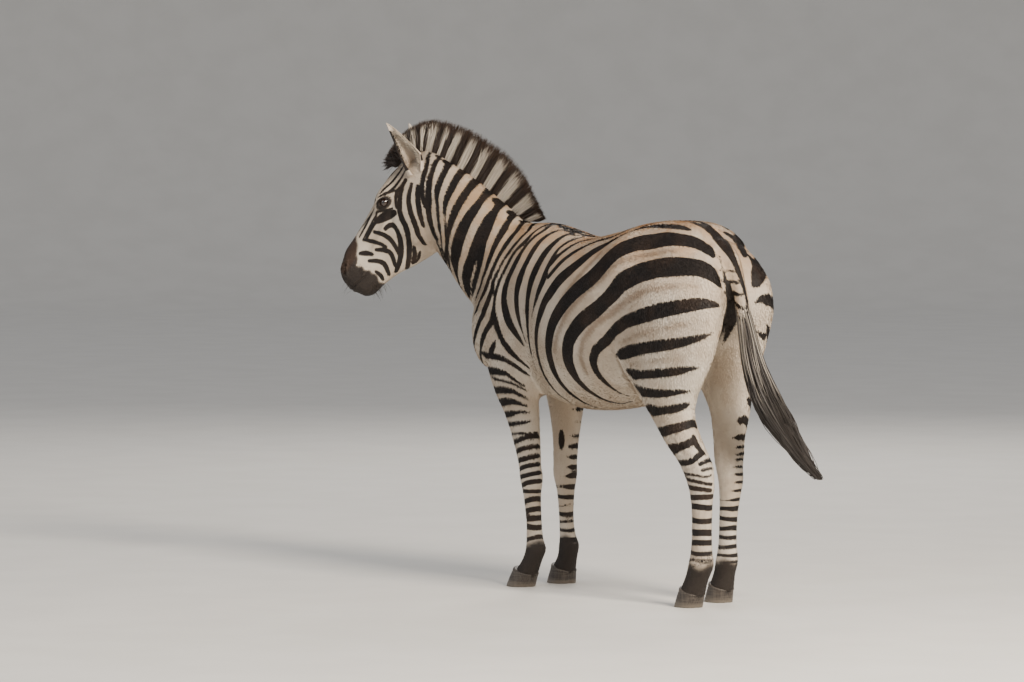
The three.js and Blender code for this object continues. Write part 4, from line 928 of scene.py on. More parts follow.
@dataclass
class Markings:
    """Lays the bands on the skin, and gives each place of the skin its colour."""

    tree: BVHTree
    body: BodyField
    bands: list[Band] = field(default_factory=list)

    def cast(self, x: float, y: float) -> Array | None:
        """Where the ray through a point of the frame meets the skin."""
        start, d = VIEW.ray(x, y)
        hit = self.tree.ray_cast(Vector(start), Vector(d))[0]
        return None if hit is None else np.array(hit)

    def band(self, rows: Sequence[Sequence[float]], level: bool, at_crest: bool = False) -> Band | None:
        """A band through points of the frame.

        Args:
            rows: x, y and width of each point.
            level: whether the widths are measured level across the frame.
            at_crest: whether the band starts at the mane, where its width is not foreshortened.

        Returns:
            The band, or nothing where the skin is missed.
        """
        rows = np.asarray(rows, float)
        tangent = np.gradient(rows[:, :2], axis=0)
        tangent /= np.linalg.norm(tangent, axis=1, keepdims=True)
        line, half = [], []
        heart = rows[:, :2].mean(0)
        for (x, y, w), t in zip(rows, tangent):
            middle = self.cast(x, y)
            for _ in range(16):
                if middle is not None:
                    break
                x, y = np.array([x, y]) + unit(heart - (x, y) + 1e-6) * 0.6
                middle = self.cast(x, y)
            if middle is None:
                continue
            across = np.array([1.0, 0]) if level else np.array([-t[1], t[0]])
            ends = [self.cast(x + s * across[0] * w / 2, y + s * across[1] * w / 2) for s in (-1, 1)]
            reach = [np.linalg.norm(e - middle) for e in ends if e is not None]
            wide = min(reach) if len(reach) == 2 else w / 2 * 3.5
            if reach and max(reach) < 3.2 * wide:
                wide = sum(reach) / len(reach)
            if level:
                wide *= max(0.3, abs(t[1]))
            line.append(middle)
            half.append(min(wide, 40, w / 2 * 3.55 * 1.8))
        if len(line) < 2:
            return None
        half[0] = min(half[0], half[1] * 1.05)
        if at_crest:
            half[:2] = [min(h, w * 3.55 / 2) for h, (_, _, w) in zip(half[:2], rows[:2])]
        return Band(np.array(line), np.array(half))

    def axis_side(self, p: Array) -> tuple[Array, Array]:
        """The nearest point of the body's long axis, and the level direction square to it there."""
        axis = np.array([(500, 0, 1000), (-380, 0, 1000)] + [row[:3] for row in NECK_ROWS[1:]], float)
        best, at, side = 1e9, axis[0], np.array([0, 1.0, 0])
        for a, b in zip(axis[:-1], axis[1:]):
            d = b - a
            t = np.clip((p - a) @ d / (d @ d), 0, 1)
            q = a + d * t
            if np.linalg.norm(p - q) < best:
                best, at = np.linalg.norm(p - q), q
                side = unit(np.array([-d[1], d[0], 0]))
        return at, side

    def mirrored(self, band: Band, head: bool) -> Band:
        """The band on the other side of the body."""
        line = []
        for p in band.line:
            if head:
                q = p - 2 * ((p - POLL) @ HEAD_LEFT) * HEAD_LEFT
            else:
                at, side = self.axis_side(p)
                q = p - 2 * ((p - at) @ side) * side
            line.append(np.array(self.tree.find_nearest(Vector(q))[0]))
        return Band(np.array(line), band.half)

    def snap(self, band: Band) -> Band:
        """The band with its corners rounded and its middle line drawn back onto the skin."""
        line, half = band.fine()
        for _ in range(8):
            line[1:-1] = (line[:-2] + 2 * line[1:-1] + line[2:]) / 4
            half[1:-1] = (half[:-2] + 2 * half[1:-1] + half[2:]) / 4
        return Band(np.array([self.tree.find_nearest(Vector(q))[0] for q in line]), half)

    def run_on(self, band: Band, front: bool, length: float = 260, taper: bool = False) -> Band:
        """The band continued round the body to its middle line.

        Args:
            band: the band.
            front: whether the last point is continued, and not the first.
            length: the most that is added.
            taper: whether the added length runs out to a point.

        Returns:
            The longer band.
        """
        line, half = (band.line, band.half) if front else (band.line[::-1], band.half[::-1])
        p = line[-1]
        d = unit(line[-1] - line[-3] if len(line) > 2 else line[-1] - line[-2])
        at, side = self.axis_side(p)
        sign = np.sign((p - at) @ side)
        pull = 0.0 if taper else 4.0 if front else 8.0
        more, wide = [], []
        for n in range(int(length / 12)):
            q = np.array(self.tree.find_nearest(Vector(p + d * 12 - pull * sign * side))[0])
            d = unit(unit(q - p) + 0.5 * d)
            p = q
            at, side = self.axis_side(p)
            more.append(p)
            least = 7 + 3 * math.sin(n * 0.7) if length > 100 and not taper else 0.0
            wide.append(half[-1] * (1 - 12 * (n + 1) / length) if taper else max(half[-1], least))
            if (p - at) @ side * sign < 0:
                break
        line, half = np.vstack([line, more]), np.concatenate([half, wide])
        return Band(line, half) if front else Band(line[::-1], half[::-1])

    def lay(self) -> None:
        """Lays every band."""
        for name, rows in ACROSS.items():
            made = self.band(rows, True, name in FROM_THE_CREST)
            if made is None:
                continue
            if name in TO_THE_FRONT:
                made = self.run_on(made, True)
            if name in OVER_THE_BACK:
                made = self.run_on(made, False, 260)
            self.bands += [made, self.mirrored(made, False)]
        for name, rows in SQUARE.items():
            made = self.band(rows, False)
            if made is None:
                continue
            if name in ROUND_THE_LEG:
                made = self.run_on(made, rows[0][0] > rows[-1][0], 84, True)
            if name in OVER_THE_BACK:
                made = self.run_on(made, False, 260)
            self.bands.append(made)
            if not name.startswith(LEFT_ONLY):
                self.bands.append(self.mirrored(made, False))
        self.bands.append(self.band(CHESTNUT, False))
        self.shades = [self.band(rows, False) for rows in SHADES]
        self.shades += [self.mirrored(band, False) for band in self.shades]
        for rows in (DORSAL, *FAR_RUMP.values()):
            made = self.band(rows, False)
            if made is not None:
                self.bands.append(made)
        for points, width in FACE:
            rows = [(*(FACE_CORNER + np.array(q) / 10), width / 10) for q in points]
            made = self.band(rows, False)
            if made is not None:
                ends = 0.45 + 0.55 * np.sin(np.linspace(0.12, 0.88, len(made.line)) * math.pi)
                made = Band(made.line, np.full(len(made.line), width / 10 * 3.6 * FACE_WIDTH / 2) * ends + 1.2)
                self.bands += [made, self.mirrored(made, True)]
        for at, size in DOCK_BARS_AT:
            middle = self.cast(*at)
            if middle is not None:
                ring = [middle + np.array([0.6 * t, t, -0.25 * t]) for t in (-26, 0, 14)]
                self.bands.append(Band(np.array(ring), np.full(3, size * 3.5 / 2)))
        self.bands.append(self.spine())
        self.bands = [self.snap(band) for band in self.bands]

    def spine(self) -> Band:
        """The dark line along the middle of the back, from the mane to the croup."""
        x = np.arange(*SPINE_SPAN, 20.0)
        line = [np.array(self.tree.ray_cast(Vector((q, 0, 2000)), Vector((0, 0, -1)))[0]) for q in x]
        return Band(np.array(line), SPINE_HALF + 2 * np.sin(x * 0.045))

    def stripe(self, p: Array, parts: Array) -> Array:
        """How far inside a black band each place is, in millimetres.

        Args:
            p: the places.
            parts: how far each place is from each part of the body.

        Returns:
            Positive inside a band, negative outside.
        """
        out = np.full(len(p), -40.0)
        for band in self.bands:
            line, half = band.fine()
            near = np.flatnonzero(((p > line.min(0) - 60) & (p < line.max(0) + 60)).all(1))
            for part in np.array_split(near, max(1, len(near) // 4000)):
                if len(part):
                    d = np.linalg.norm(p[part, None] - line[None], axis=2)
                    out[part] = np.maximum(out[part], (half[None] - d).max(1))
        whole = parts.argmin(1)
        for part, rings in LEG_RINGS.items():
            mine = np.flatnonzero((whole == part.value) & (p[:, 2] < 760))
            if len(mine):
                out[mine] = np.maximum(out[mine], self.rings(p[mine], part, rings))
        return out

    def rings(self, p: Array, part: Part, rings: Sequence[Sequence[Sequence[float]]]) -> Array:
        """How far inside a ring of its leg each place is."""
        out = np.full(len(p), -40.0)
        leg = self.body.legs[part][0]
        inner = 1.0 if part in (Part.HIND_LEFT, Part.FORE_LEFT) else -1.0
        middle = np.interp(-p[:, 2], leg.fine[:, 0], leg.fine[:, 1])
        inside = smoothstep(0.1, 0.9, inner * (p[:, 1] - middle) / 45)
        for points in rings:
            hits = [(self.cast(x, y), w) for x, y, w in points]
            hits = [(h, w) for h, w in hits if h is not None]
            if not hits:
                continue
            x = np.array([h[0] for h, _ in hits])
            z = np.array([h[2] for h, _ in hits])
            w = np.array([w * 3.5 / 2 for _, w in hits])
            slope = np.clip(np.polyfit(x, z, 1)[0], -0.3, 0.3) if len(x) > 1 and np.ptp(x) > 20 else 0.0
            height = z.mean() + slope * (p[:, 0] - x.mean())
            wave = 1.6 * np.sin(p[:, 0] * 0.05 + z.mean() * 0.11) + 1.2 * np.sin(p[:, 1] * 0.06 + z.mean() * 0.23)
            weak = inside * smoothstep(300, 420, z.mean()) * 0.72 + inside * 0.12
            out = np.maximum(out, w.mean() * (1 - weak) - 5 * weak - np.abs(p[:, 2] - height - wave))
        return out

    def muzzle(self, p: Array, parts: Array) -> tuple[Array, Array]:
        """How much each place belongs to the muzzle, and how much of that is its brown upper patch."""
        a, b, _ = head_place(p).T
        edge = np.interp(b, *MUZZLE_EDGE)
        inside = smoothstep(-7, 6, a - edge + 3 * np.sin(b * 0.2)) * (parts[:, Part.HEAD.value] < 30)
        return inside, smoothstep(-92, -72, b) * smoothstep(528, 496, a)

    def dark(self, p: Array, parts: Array) -> Array:
        """How much each place belongs to black skin: muzzle, lids, feet, and under the tail, where painted shade is
        added.
        """
        inside, patch = self.muzzle(p, parts)
        out = inside * (1 - patch)
        h = head_place(p)
        w = np.column_stack([h[:, :2], np.abs(h[:, 2])]) - np.array(EYE_AT)
        v1, v2 = w @ EYE_LONG, w @ np.array((-EYE_LONG[1], EYE_LONG[0], 0.0))
        q = np.hypot((v1 - 2) / (EYE_HALF_LONG + 4), (v2 + 0.5) / (EYE_HALF_HIGH + 3))
        out = np.maximum(out, smoothstep(1.60, 1.38, q) * (np.abs(w[:, 2]) < 45))
        # under the tail: black skin, darkened into the cleft beside the dock as painted shade
        under = smoothstep(34, 20, np.abs(p[:, 1] + 2)) * smoothstep(1150, 1110, p[:, 2]) * smoothstep(820, 900, p[:, 2])
        out = np.maximum(out, under * smoothstep(440, 480, p[:, 0]) * (self.body.dock(p) > 5))
        whole = parts.argmin(1)
        for part, height in DARK_BELOW.items():
            wave = 6 * np.sin(p[:, 0] * 0.09) + 5 * np.sin(p[:, 1] * 0.11)
            out = np.maximum(out, smoothstep(12, -12, p[:, 2] - height - wave) * (whole == part.value))
        return out

    def nose(self, p: Array, parts: Array) -> Array:
        """How much each place belongs to the brown patch of the nose."""
        return self.muzzle(p, parts)[0]

    def shadow(self, p: Array, parts: Array) -> Array:
        """How much brown each place gets: the soft stripes of the hindquarters, and painted shade along the flank fold.
        """
        out = np.zeros(len(p))
        for band in self.shades:
            line, half = band.fine(6.0)
            near = np.flatnonzero(((p > line.min(0) - 40) & (p < line.max(0) + 40)).all(1))
            d = np.linalg.norm(p[near, None] - line[None], axis=2)
            out[near] = np.maximum(out[near], smoothstep(-5, 8, (half[None] - d).max(1)))
        return 0.62 * out * (parts.argmin(1) != Part.HEAD.value)

    def groove(self, p: Array) -> Array:
        """How deep the folds of the body are at each place, in millimetres."""
        out = np.zeros(len(p))
        for points, wide, depth in GROOVES:
            made = self.band([(x, y, 2) for x, y in points], False)
            for band in (made, self.mirrored(made, False)):
                line, _ = band.fine(5.0)
                near = np.flatnonzero(((p > line.min(0) - 3 * wide) & (p < line.max(0) + 3 * wide)).all(1))
                d = np.linalg.norm(p[near, None] - line[None], axis=2).min(1)
                ends = np.minimum(np.linalg.norm(p[near] - line[0], axis=1), np.linalg.norm(p[near] - line[-1], axis=1))
                out[near] = np.maximum(out[near], depth * np.exp(-(d / wide) ** 2) * smoothstep(0, 2.5 * wide, ends))
        return out


# ------------------------------------------------------------------ finishes

class Nodes:
    """A small helper that writes node trees."""

    def __init__(self, material: bpy.types.Material) -> None:
        """Starts an empty tree with an output."""
        material.use_nodes = True
        self.tree = material.node_tree
        self.tree.nodes.clear()
        self.output = self.add("ShaderNodeOutputMaterial")

    def add(self, kind: str, **values: object) -> bpy.types.Node:
        """Adds a node, with its settings and its input values by name."""
        node = self.tree.nodes.new(kind)
        for key, value in values.items():
            if hasattr(node, key):
                setattr(node, key, value)
        return node

    def link(self, start: bpy.types.NodeSocket, end: bpy.types.NodeSocket) -> None:
        """Joins two sockets."""
        self.tree.links.new(start, end)

    def feed(self, node: bpy.types.Node, slot: int | str, value: object) -> None:
        """Gives an input a value or a link."""
        if isinstance(value, bpy.types.NodeSocket):
            self.link(value, node.inputs[slot])
        else:
            node.inputs[slot].default_value = value

    def math(self, operation: str, a: object, b: object = 0.0, c: object = None) -> bpy.types.NodeSocket:
        """A sum on one, two or three values."""
        node = self.add("ShaderNodeMath", operation=operation)
        self.feed(node, 0, a)
        self.feed(node, 1, b)
        if c is not None:
            self.feed(node, 2, c)
        return node.outputs[0]

    def mix(self, share: object, a: object, b: object) -> bpy.types.NodeSocket:
        """Colour a turned into colour b."""
        node = self.add("ShaderNodeMix", data_type="RGBA")
        self.feed(node, 0, share)
        self.feed(node, 6, a)
        self.feed(node, 7, b)
        return node.outputs[2]

    def noise(self, scale: float, detail: float = 2.0, vector: bpy.types.NodeSocket | None = None,
              stretch: Sequence[float] | None = None) -> bpy.types.NodeSocket:
        """Noise on the object's coordinates, or on another vector, and stretched if wished."""
        if vector is None:
            vector = self.add("ShaderNodeTexCoord").outputs["Object"]
        if stretch is not None:
            mapping = self.add("ShaderNodeMapping")
            mapping.inputs["Scale"].default_value = stretch
            self.link(vector, mapping.inputs["Vector"])
            vector = mapping.outputs[0]
        node = self.add("ShaderNodeTexNoise")
        node.inputs["Scale"].default_value = scale
        node.inputs["Detail"].default_value = detail
        self.link(vector, node.inputs["Vector"])
        return node.outputs["Fac"]

    def attribute(self, name: str) -> bpy.types.NodeSocket:
        """A painted value of the mesh."""
        return self.add("ShaderNodeAttribute", attribute_name=name).outputs["Fac"]

    def ramp(self, value: bpy.types.NodeSocket, low: float, high: float) -> bpy.types.NodeSocket:
        """A value made 0 at low and 1 at high."""
        node = self.add("ShaderNodeMapRange", interpolation_type="SMOOTHSTEP")
        self.link(value, node.inputs["Value"])
        node.inputs["From Min"].default_value = low
        node.inputs["From Max"].default_value = high
        return node.outputs[0]

    def bump(self, height: bpy.types.NodeSocket, distance: float, strength: float = 1.0) -> bpy.types.NodeSocket:
        """A bump of a height in metres."""
        node = self.add("ShaderNodeBump")
        node.inputs["Strength"].default_value = strength
        node.inputs["Distance"].default_value = distance
        self.link(height, node.inputs["Height"])
        return node.outputs[0]

    def surface(self, colour: object, roughness: float, normal: bpy.types.NodeSocket | None = None,
                **values: object) -> bpy.types.Node:
        """The shader itself, linked to the output."""
        shader = self.add("ShaderNodeBsdfPrincipled")
        self.feed(shader, "Base Color", colour)
        shader.inputs["Roughness"].default_value = roughness
        if normal is not None:
            self.link(normal, shader.inputs["Normal"])
        for key, value in values.items():
            shader.inputs[key.replace("_", " ")].default_value = value
        self.link(shader.outputs[0], self.output.inputs[0])
        return shader


@dataclass(frozen=True)
class CoatFinish:
    """Black and cream coat, shared by the skin and the tufts so that both carry the same markings."""

    name: str = "coat"
    cream: tuple = (0.52, 0.43, 0.335, 1)
    pale: tuple = (0.66, 0.585, 0.49, 1)
    tan: tuple = (0.50, 0.34, 0.205, 1)
    black: tuple = (0.0135, 0.0100, 0.0085, 1)
    black_warm: tuple = (0.030, 0.019, 0.013, 1)
    shadow: tuple = (0.215, 0.135, 0.080, 1)
    nose: tuple = (0.048, 0.029, 0.020, 1)
    muzzle: tuple = (0.031, 0.024, 0.020, 1)
    roughness: float = 0.62
    edge: float = 1.4
    streaks: bool = True

    def build(self) -> bpy.types.Material:
        """Makes the material."""
        material = bpy.data.materials.new(self.name)
        n = Nodes(material)
        stripe = n.attribute("stripe")
        ragged = n.math("MULTIPLY", n.math("SUBTRACT", n.noise(330, 3), 0.5), 2.4)
        black = n.ramp(n.math("ADD", n.math("SUBTRACT", stripe, 0.7), ragged), -self.edge, self.edge)
        patch = n.noise(7, 3)
        cream = n.mix(n.ramp(patch, 0.35, 0.68), self.cream, self.pale)
        fine = n.noise(420, 2)
        cream = n.mix(n.math("MULTIPLY", n.ramp(fine, 0.45, 0.8), 0.30), cream, (0.36, 0.29, 0.22, 1))
        # tan high on the neck and back: partly dust, partly painted warm sunlight on the upper body
        split = n.add("ShaderNodeSeparateXYZ")
        n.link(n.add("ShaderNodeTexCoord").outputs["Object"], split.inputs[0])
        high = n.math("MULTIPLY", n.ramp(split.outputs["Z"], 0.98, 1.30), n.ramp(n.noise(14, 3), 0.28, 0.66))
        high = n.math("MULTIPLY", high, n.ramp(split.outputs["X"], -0.80, -0.45))
        cream = n.mix(high, cream, self.tan)
        # brown shadow stripes, with painted shade along the flank fold and deep inside the ears
        cream = n.mix(n.attribute("shadow"), cream, self.shadow)
        ink = n.mix(n.ramp(n.noise(11, 4), 0.42, 0.72), self.black, self.black_warm)
        colour = n.mix(black, cream, ink)
        colour = n.mix(n.attribute("nose"), colour, self.nose)
        # black skin of muzzle, lids and feet, and the painted shade under the tail, take the muzzle's colour
        colour = n.mix(n.attribute("dark"), colour, self.muzzle)
        normal = None
        if self.streaks:
            uv = n.add("ShaderNodeUVMap", uv_map=BAKE_UV).outputs[0]
            hair = n.noise(1.0, 3, uv, (1500, 190, 1))
            normal = n.bump(hair, 0.0022, 0.75)
        n.surface(colour, self.roughness, normal, Specular_IOR_Level=0.28)
        return material


# ------------------------------------------------------------------ skin

@dataclass(frozen=True)
class Chart:
    """Where one part of the skin lies on the map: left, bottom, width, height, and the lengths it covers."""

    left: float
    bottom: float
    width: float
    height: float
    start: float
    end: float


CHARTS = {
    Part.TRUNK: Chart(0.02, 0.41, 0.58, 0.57, -900, 820),
    Part.NECK: Chart(0.64, 0.71, 0.34, 0.27, -120, 900),
    Part.HEAD: Chart(0.64, 0.41, 0.34, 0.27, -120, 700),
    Part.HIND_LEFT: Chart(0.02, 0.03, 0.20, 0.35, -1300, 0),
    Part.HIND_RIGHT: Chart(0.25, 0.03, 0.20, 0.35, -1300, 0),
    Part.FORE_LEFT: Chart(0.48, 0.03, 0.20, 0.35, -1300, 0),
    Part.FORE_RIGHT: Chart(0.71, 0.03, 0.20, 0.35, -1300, 0),
}


@dataclass
class Skin:
    """The whole hide as one closed mesh, with folds, markings, hair direction and map."""

    body: BodyField
    cell: float = 11.1
    coat_depth: float = 3.4
    fine_depth: float = 1.9
    relax_rounds: int = 6

    def surface(self) -> tuple[Array, list[list[int]]]:
        """Finds the skin's surface, finer on the head.

        Returns:
            Vertices and faces.
        """
        net = SurfaceNet(FIELD_LOW, FIELD_HIGH, self.cell)
        verts, quads = net.extract(self.body.smooth)
        for _ in range(2):
            verts = pull_to(self.body.smooth, verts, self.cell / 2)
        log.info("surface: %d quads", len(quads))
        mesh = bmesh.new()
        made = [mesh.verts.new(v) for v in verts.tolist()]
        for quad in quads.tolist():
            mesh.faces.new([made[i] for i in quad])
        for test in (self.near_bands, self.near_features, self.near_rims):
            mesh.faces.ensure_lookup_table()
            centres = np.array([f.calc_center_median() for f in mesh.faces])
            chosen = np.flatnonzero(test(head_place(centres)) if test != self.near_bands else test(centres))
            edges = {e for i in chosen.tolist() for e in mesh.faces[i].edges}
            bmesh.ops.subdivide_edges(mesh, edges=list(edges), cuts=1, use_grid_fill=True, smooth=0)
        many = [f for f in mesh.faces if len(f.verts) > 4]
        bmesh.ops.triangulate(mesh, faces=many)
        mesh.verts.index_update()
        verts = np.array([v.co for v in mesh.verts])
        faces = [[v.index for v in f.verts] for f in mesh.faces]
        edges = np.array([[v.index for v in e.verts] for e in mesh.edges])
        mesh.free()
        return self.fold(verts, edges), faces

    @staticmethod
    def on_head(h: Array) -> Array:
        """Whether places are on the head."""
        return (h[:, 0] > -20) & (h[:, 1] > -335) & (np.abs(h[:, 2]) < 130) & (h[:, 0] - h[:, 1] * 0.2 > 20)

    @staticmethod
    def near_bands(p: Array) -> Array:
        """Whether places are on the head, or where the bands of the legs are narrow."""
        hock = (p[:, 0] > 150) & (p[:, 2] > 330) & (p[:, 2] < 590)
        knee = (p[:, 0] < -330) & (p[:, 2] > 380) & (p[:, 2] < 850) & (p[:, 1] < 0)
        return Skin.on_head(head_place(p)) | hock | knee

    @staticmethod
    def near_features(h: Array) -> Array:
        """Whether places are near the eyes or on the muzzle."""
        eye = np.linalg.norm(np.column_stack([h[:, :2], np.abs(h[:, 2])]) - np.array(EYE_AT), axis=1) < 58
        return (Skin.on_head(h)) & (eye | (h[:, 0] > 445))

    @staticmethod
    def near_rims(h: Array) -> Array:
        """Whether places are at the lids or the nostrils."""
        side = np.column_stack([h[:, :2], np.abs(h[:, 2])])
        eye = np.linalg.norm(side - np.array(EYE_AT), axis=1) < 36
        nostril = np.linalg.norm(side - np.array(NOSTRIL_AT), axis=1) < 32
        line = np.abs(h[:, 1] - MOUTH_CORNER[1] - (h[:, 0] - MOUTH_CORNER[0]) * MOUTH_SLOPE) < 9
        return eye | nostril | (line & (h[:, 0] > MOUTH_CORNER[0] - 12))

    def fold(self, verts: Array, edges: Array) -> Array:
        """Draws the folds of the face into the mesh.

        Args:
            verts: the vertices on the smooth field.
            edges: pairs of joined vertices.

        Returns:
            The moved vertices.
        """
        h = head_place(verts)
        mine = np.flatnonzero(self.on_head(h))
        chosen = np.zeros(len(verts), bool)
        chosen[mine] = True
        near = edges[chosen[edges].any(1)]
        count = np.bincount(near.ravel(), minlength=len(verts))[mine, None]
        for _ in range(self.relax_rounds):
            total = np.stack([np.bincount(near[:, 0], verts[near[:, 1], i], len(verts))
                              + np.bincount(near[:, 1], verts[near[:, 0], i], len(verts)) for i in range(3)], 1)
            p = verts[mine]
            move = (total[mine] / np.maximum(count, 1) - p) * 0.55
            normal = unit_rows(gradient(self.body.head_only, p))
            p = p + move - normal * (move * normal).sum(1, keepdims=True) * 0.85
            verts[mine] = pull_to(self.body.head_only, p, 4.0)
        return verts

    def lies(self, p: Array, normals: Array, parts: Array) -> Array:
        """The way the hair lies at each place.

        Args:
            p: the places.
            normals: the directions out of the skin.
            parts: how far each place is from each part of the body.

        Returns:
            Unit directions along the skin.
        """
        flow = np.array([(1.0, 0, -0.30), (0.80, 0.25, -0.60), (0, 0, 0), (0.12, 0, -1), (0.12, 0, -1), (0.10, 0, -1),
                         (0.10, 0, -1)])
        flow[Part.HEAD.value] = DOWN_FACE
        weight = np.exp(-(parts - parts.min(1, keepdims=True)) / 28)
        weight /= weight.sum(1, keepdims=True)
        d = weight @ flow
        h = head_place(p)
        face = weight[:, Part.HEAD.value, None]
        whorl = smoothstep(60, 150, h[:, 0])[:, None]
        up = -DOWN_FACE + np.array([0.3, 0, 0])
        cheek = np.clip((-h[:, 1] - 60) / 160, 0, 1)[:, None]
        d = d + face * ((1 - whorl) * (up - DOWN_FACE) * 0.8 + cheek * 0.5 * -OFF_FACE)
        d = d - normals * (d * normals).sum(1, keepdims=True)
        return unit_rows(d)

    def unwrap(self, verts: Array, faces: list[list[int]], parts: Array) -> Array:
        """The place of each corner on the map.

        Args:
            verts: the vertices.
            faces: the faces.
            parts: how far each vertex is from each part of the body.

        Returns:
            One row for each corner of each face.
        """
        loops = np.concatenate([np.asarray(f) for f in faces])
        sizes = np.array([len(f) for f in faces])
        face_of = np.repeat(np.arange(len(faces)), sizes)
        mean = np.stack([np.bincount(face_of, parts[loops, i]) for i in range(parts.shape[1])], 1) / sizes[:, None]
        whole = mean.argmin(1)[face_of]
        uv = np.zeros((len(loops), 2))
        for part, chart in CHARTS.items():
            at = np.flatnonzero(whole == part.value)
            if not len(at):
                continue
            angle, along = self.polar(part, verts[loops[at]])
            turn = np.exp(1j * angle)
            middle = np.angle(np.bincount(face_of[at], turn.real, len(faces))
                              + 1j * np.bincount(face_of[at], turn.imag, len(faces)))[face_of[at]]
            angle = middle + np.angle(np.exp(1j * (angle - middle)))
            share = np.clip((along - chart.start) / (chart.end - chart.start), -0.03, 1.03)
            uv[at, 0] = chart.left + chart.width * (angle / (2 * math.pi) + 0.5)
            uv[at, 1] = chart.bottom + chart.height * share
        return np.clip(uv, 0.002, 0.998)

    def polar(self, part: Part, p: Array) -> tuple[Array, Array]:
        """Angle round a part and distance along it, running over its rounded ends to the pole."""
        if part is Part.NECK:
            fine = self.body.neck.fine
            d = fine[1:, :3] - fine[:-1, :3]
            length = np.linalg.norm(d, axis=1)
            start = np.concatenate([[0], np.cumsum(length)[:-1]])
            best = np.full(len(p), 1e9)
            along, angle = np.zeros(len(p)), np.zeros(len(p))
            for a, e, size, s in zip(fine[:-1, :3], d, length, start):
                u = e / size
                n = unit(np.array([0, 0, 1.0]) - u[2] * u)
                v = p - a
                t = np.clip(v @ u, 0, size)
                gap = np.linalg.norm(v - t[:, None] * u, axis=1)
                nearer = gap < best
                best = np.where(nearer, gap, best)
                along = np.where(nearer, s + v @ u, along)
                angle = np.where(nearer, np.arctan2(v @ np.cross(u, n), v @ n), angle)
            return angle, along
        shape = {Part.TRUNK: self.body.trunk, Part.HEAD: self.body.head}.get(part) or self.body.legs[part][0]
        v = p - shape.origin
        s = v @ shape.a
        at = np.clip(s, shape.fine[0, 0], shape.fine[-1, 0])
        across, lift, w, top, low = (np.interp(at, shape.fine[:, 0], shape.fine[:, i]) for i in range(1, 6))
        x, y = v @ shape.side - across, v @ shape.u - lift
        ring = np.hypot(x / w, y / np.where(y > 0, top, low))
        size = np.minimum(w, np.minimum(top, low))
        cap = np.abs(s - at) + np.maximum(0, 1 - ring) * size
        return np.arctan2(x, y), at + np.where(s > (shape.fine[0, 0] + shape.fine[-1, 0]) / 2, cap, -cap)

    def build(self) -> tuple[MeshData, Markings]:
        """Builds the hide with everything painted on it.

        Returns:
            The mesh, and the markings that painted it.
        """
        verts, faces = self.surface()
        parts = self.body.parts(verts)
        h = head_place(verts)
        head = self.on_head(h)
        normals = np.empty_like(verts)
        normals[~head] = gradient(self.body.smooth, verts[~head])
        normals[head] = gradient(self.body.head_only, verts[head])
        normals = unit_rows(normals)
        fine = np.exp(-np.maximum(parts[:, Part.HEAD.value], 0) / 20) * smoothstep(40, 160, h[:, 0])
        fine = np.maximum(fine, smoothstep(520, 380, verts[:, 2]))
        depth = self.coat_depth + (self.fine_depth - self.coat_depth) * fine
        tree = BVHTree.FromPolygons(verts.tolist(), faces)
        marks = Markings(tree, self.body)
        marks.lay()
        log.info("%d bands laid", len(marks.bands))
        depth = depth + marks.groove(verts)
        data = MeshData(verts - normals * depth[:, None], faces)
        data.floats = {
            "stripe": marks.stripe(verts, parts), "dark": marks.dark(verts, parts), "nose": marks.nose(verts, parts),
            "shadow": marks.shadow(verts, parts), "fine": fine,
        }
        data.vectors = {"lie": self.lies(verts, normals, parts)}
        data.uv = self.unwrap(verts, faces, parts)
        return data, marks


# ------------------------------------------------------------------ locks and hairs

RANDOM_SEED = 20


@dataclass
class Strands:
    """Many thin solid locks, each along its own path."""

    paths: Array                     # strand, station, xyz
    widths: Array                    # strand, station
    flat: float = 0.45
    sides: int = 3

    def build(self) -> MeshData:
        """Builds the locks, closed at the root and pointed at the end.

        Returns:
            Their mesh, with the share of the way to the tip and a random number for each lock.
        """
        count, stations = self.paths.shape[:2]
        along = np.gradient(self.paths, axis=1)
        along /= np.maximum(np.linalg.norm(along, axis=2, keepdims=True), 1e-9)
        rng = np.random.default_rng(RANDOM_SEED + count)
        aim = rng.normal(size=(count, 1, 3))
        u = np.cross(along, aim)
        u /= np.maximum(np.linalg.norm(u, axis=2, keepdims=True), 1e-9)
        v = np.cross(along, u)
        turns = np.arange(self.sides) * 2 * math.pi / self.sides
        ring = (np.cos(turns)[:, None] * u[:, :, None] + self.flat * np.sin(turns)[:, None] * v[:, :, None])
        verts = self.paths[:, :, None] + ring * self.widths[:, :, None, None] / 2
        n, k = self.sides, np.arange(self.sides)
        base = (np.arange(count)[:, None] * stations + np.arange(stations - 1)[None]) * n
        a = base[..., None] + k
        b = base[..., None] + (k + 1) % n
        quads = np.stack([a, b, b + n, a + n], -1).reshape(-1, 4)
        caps = (np.arange(count)[:, None] * stations * n + k[::-1])
        tips = ((np.arange(count)[:, None] + 1) * stations - 1) * n + k
        faces = quads.tolist() + caps.tolist() + tips.tolist()
        share = np.broadcast_to(np.linspace(0, 1, stations)[None, :, None], verts.shape[:3]).ravel()
        vary = np.broadcast_to(rng.random(count)[:, None, None], verts.shape[:3]).ravel()
        return MeshData(verts.reshape(-1, 3), faces, {"tip": share, "vary": vary})

    def patch_uv(self, roots: Array, data: MeshData) -> Array:
        """A small patch of the map for each lock, at its root's place.

        Args:
            roots: the place on the map of each lock's root.
            data: the built locks.

        Returns:
            One row for each corner.
        """
        loops = np.concatenate([np.asarray(f) for f in data.faces])
        per = self.paths.shape[1] * self.sides
        strand = loops // per
        local = np.column_stack([(loops % self.sides) / self.sides, data.floats["tip"][loops]])
        return np.clip(roots[strand] + (local - 0.5) * TUFT_PATCH, 0.001, 0.999)


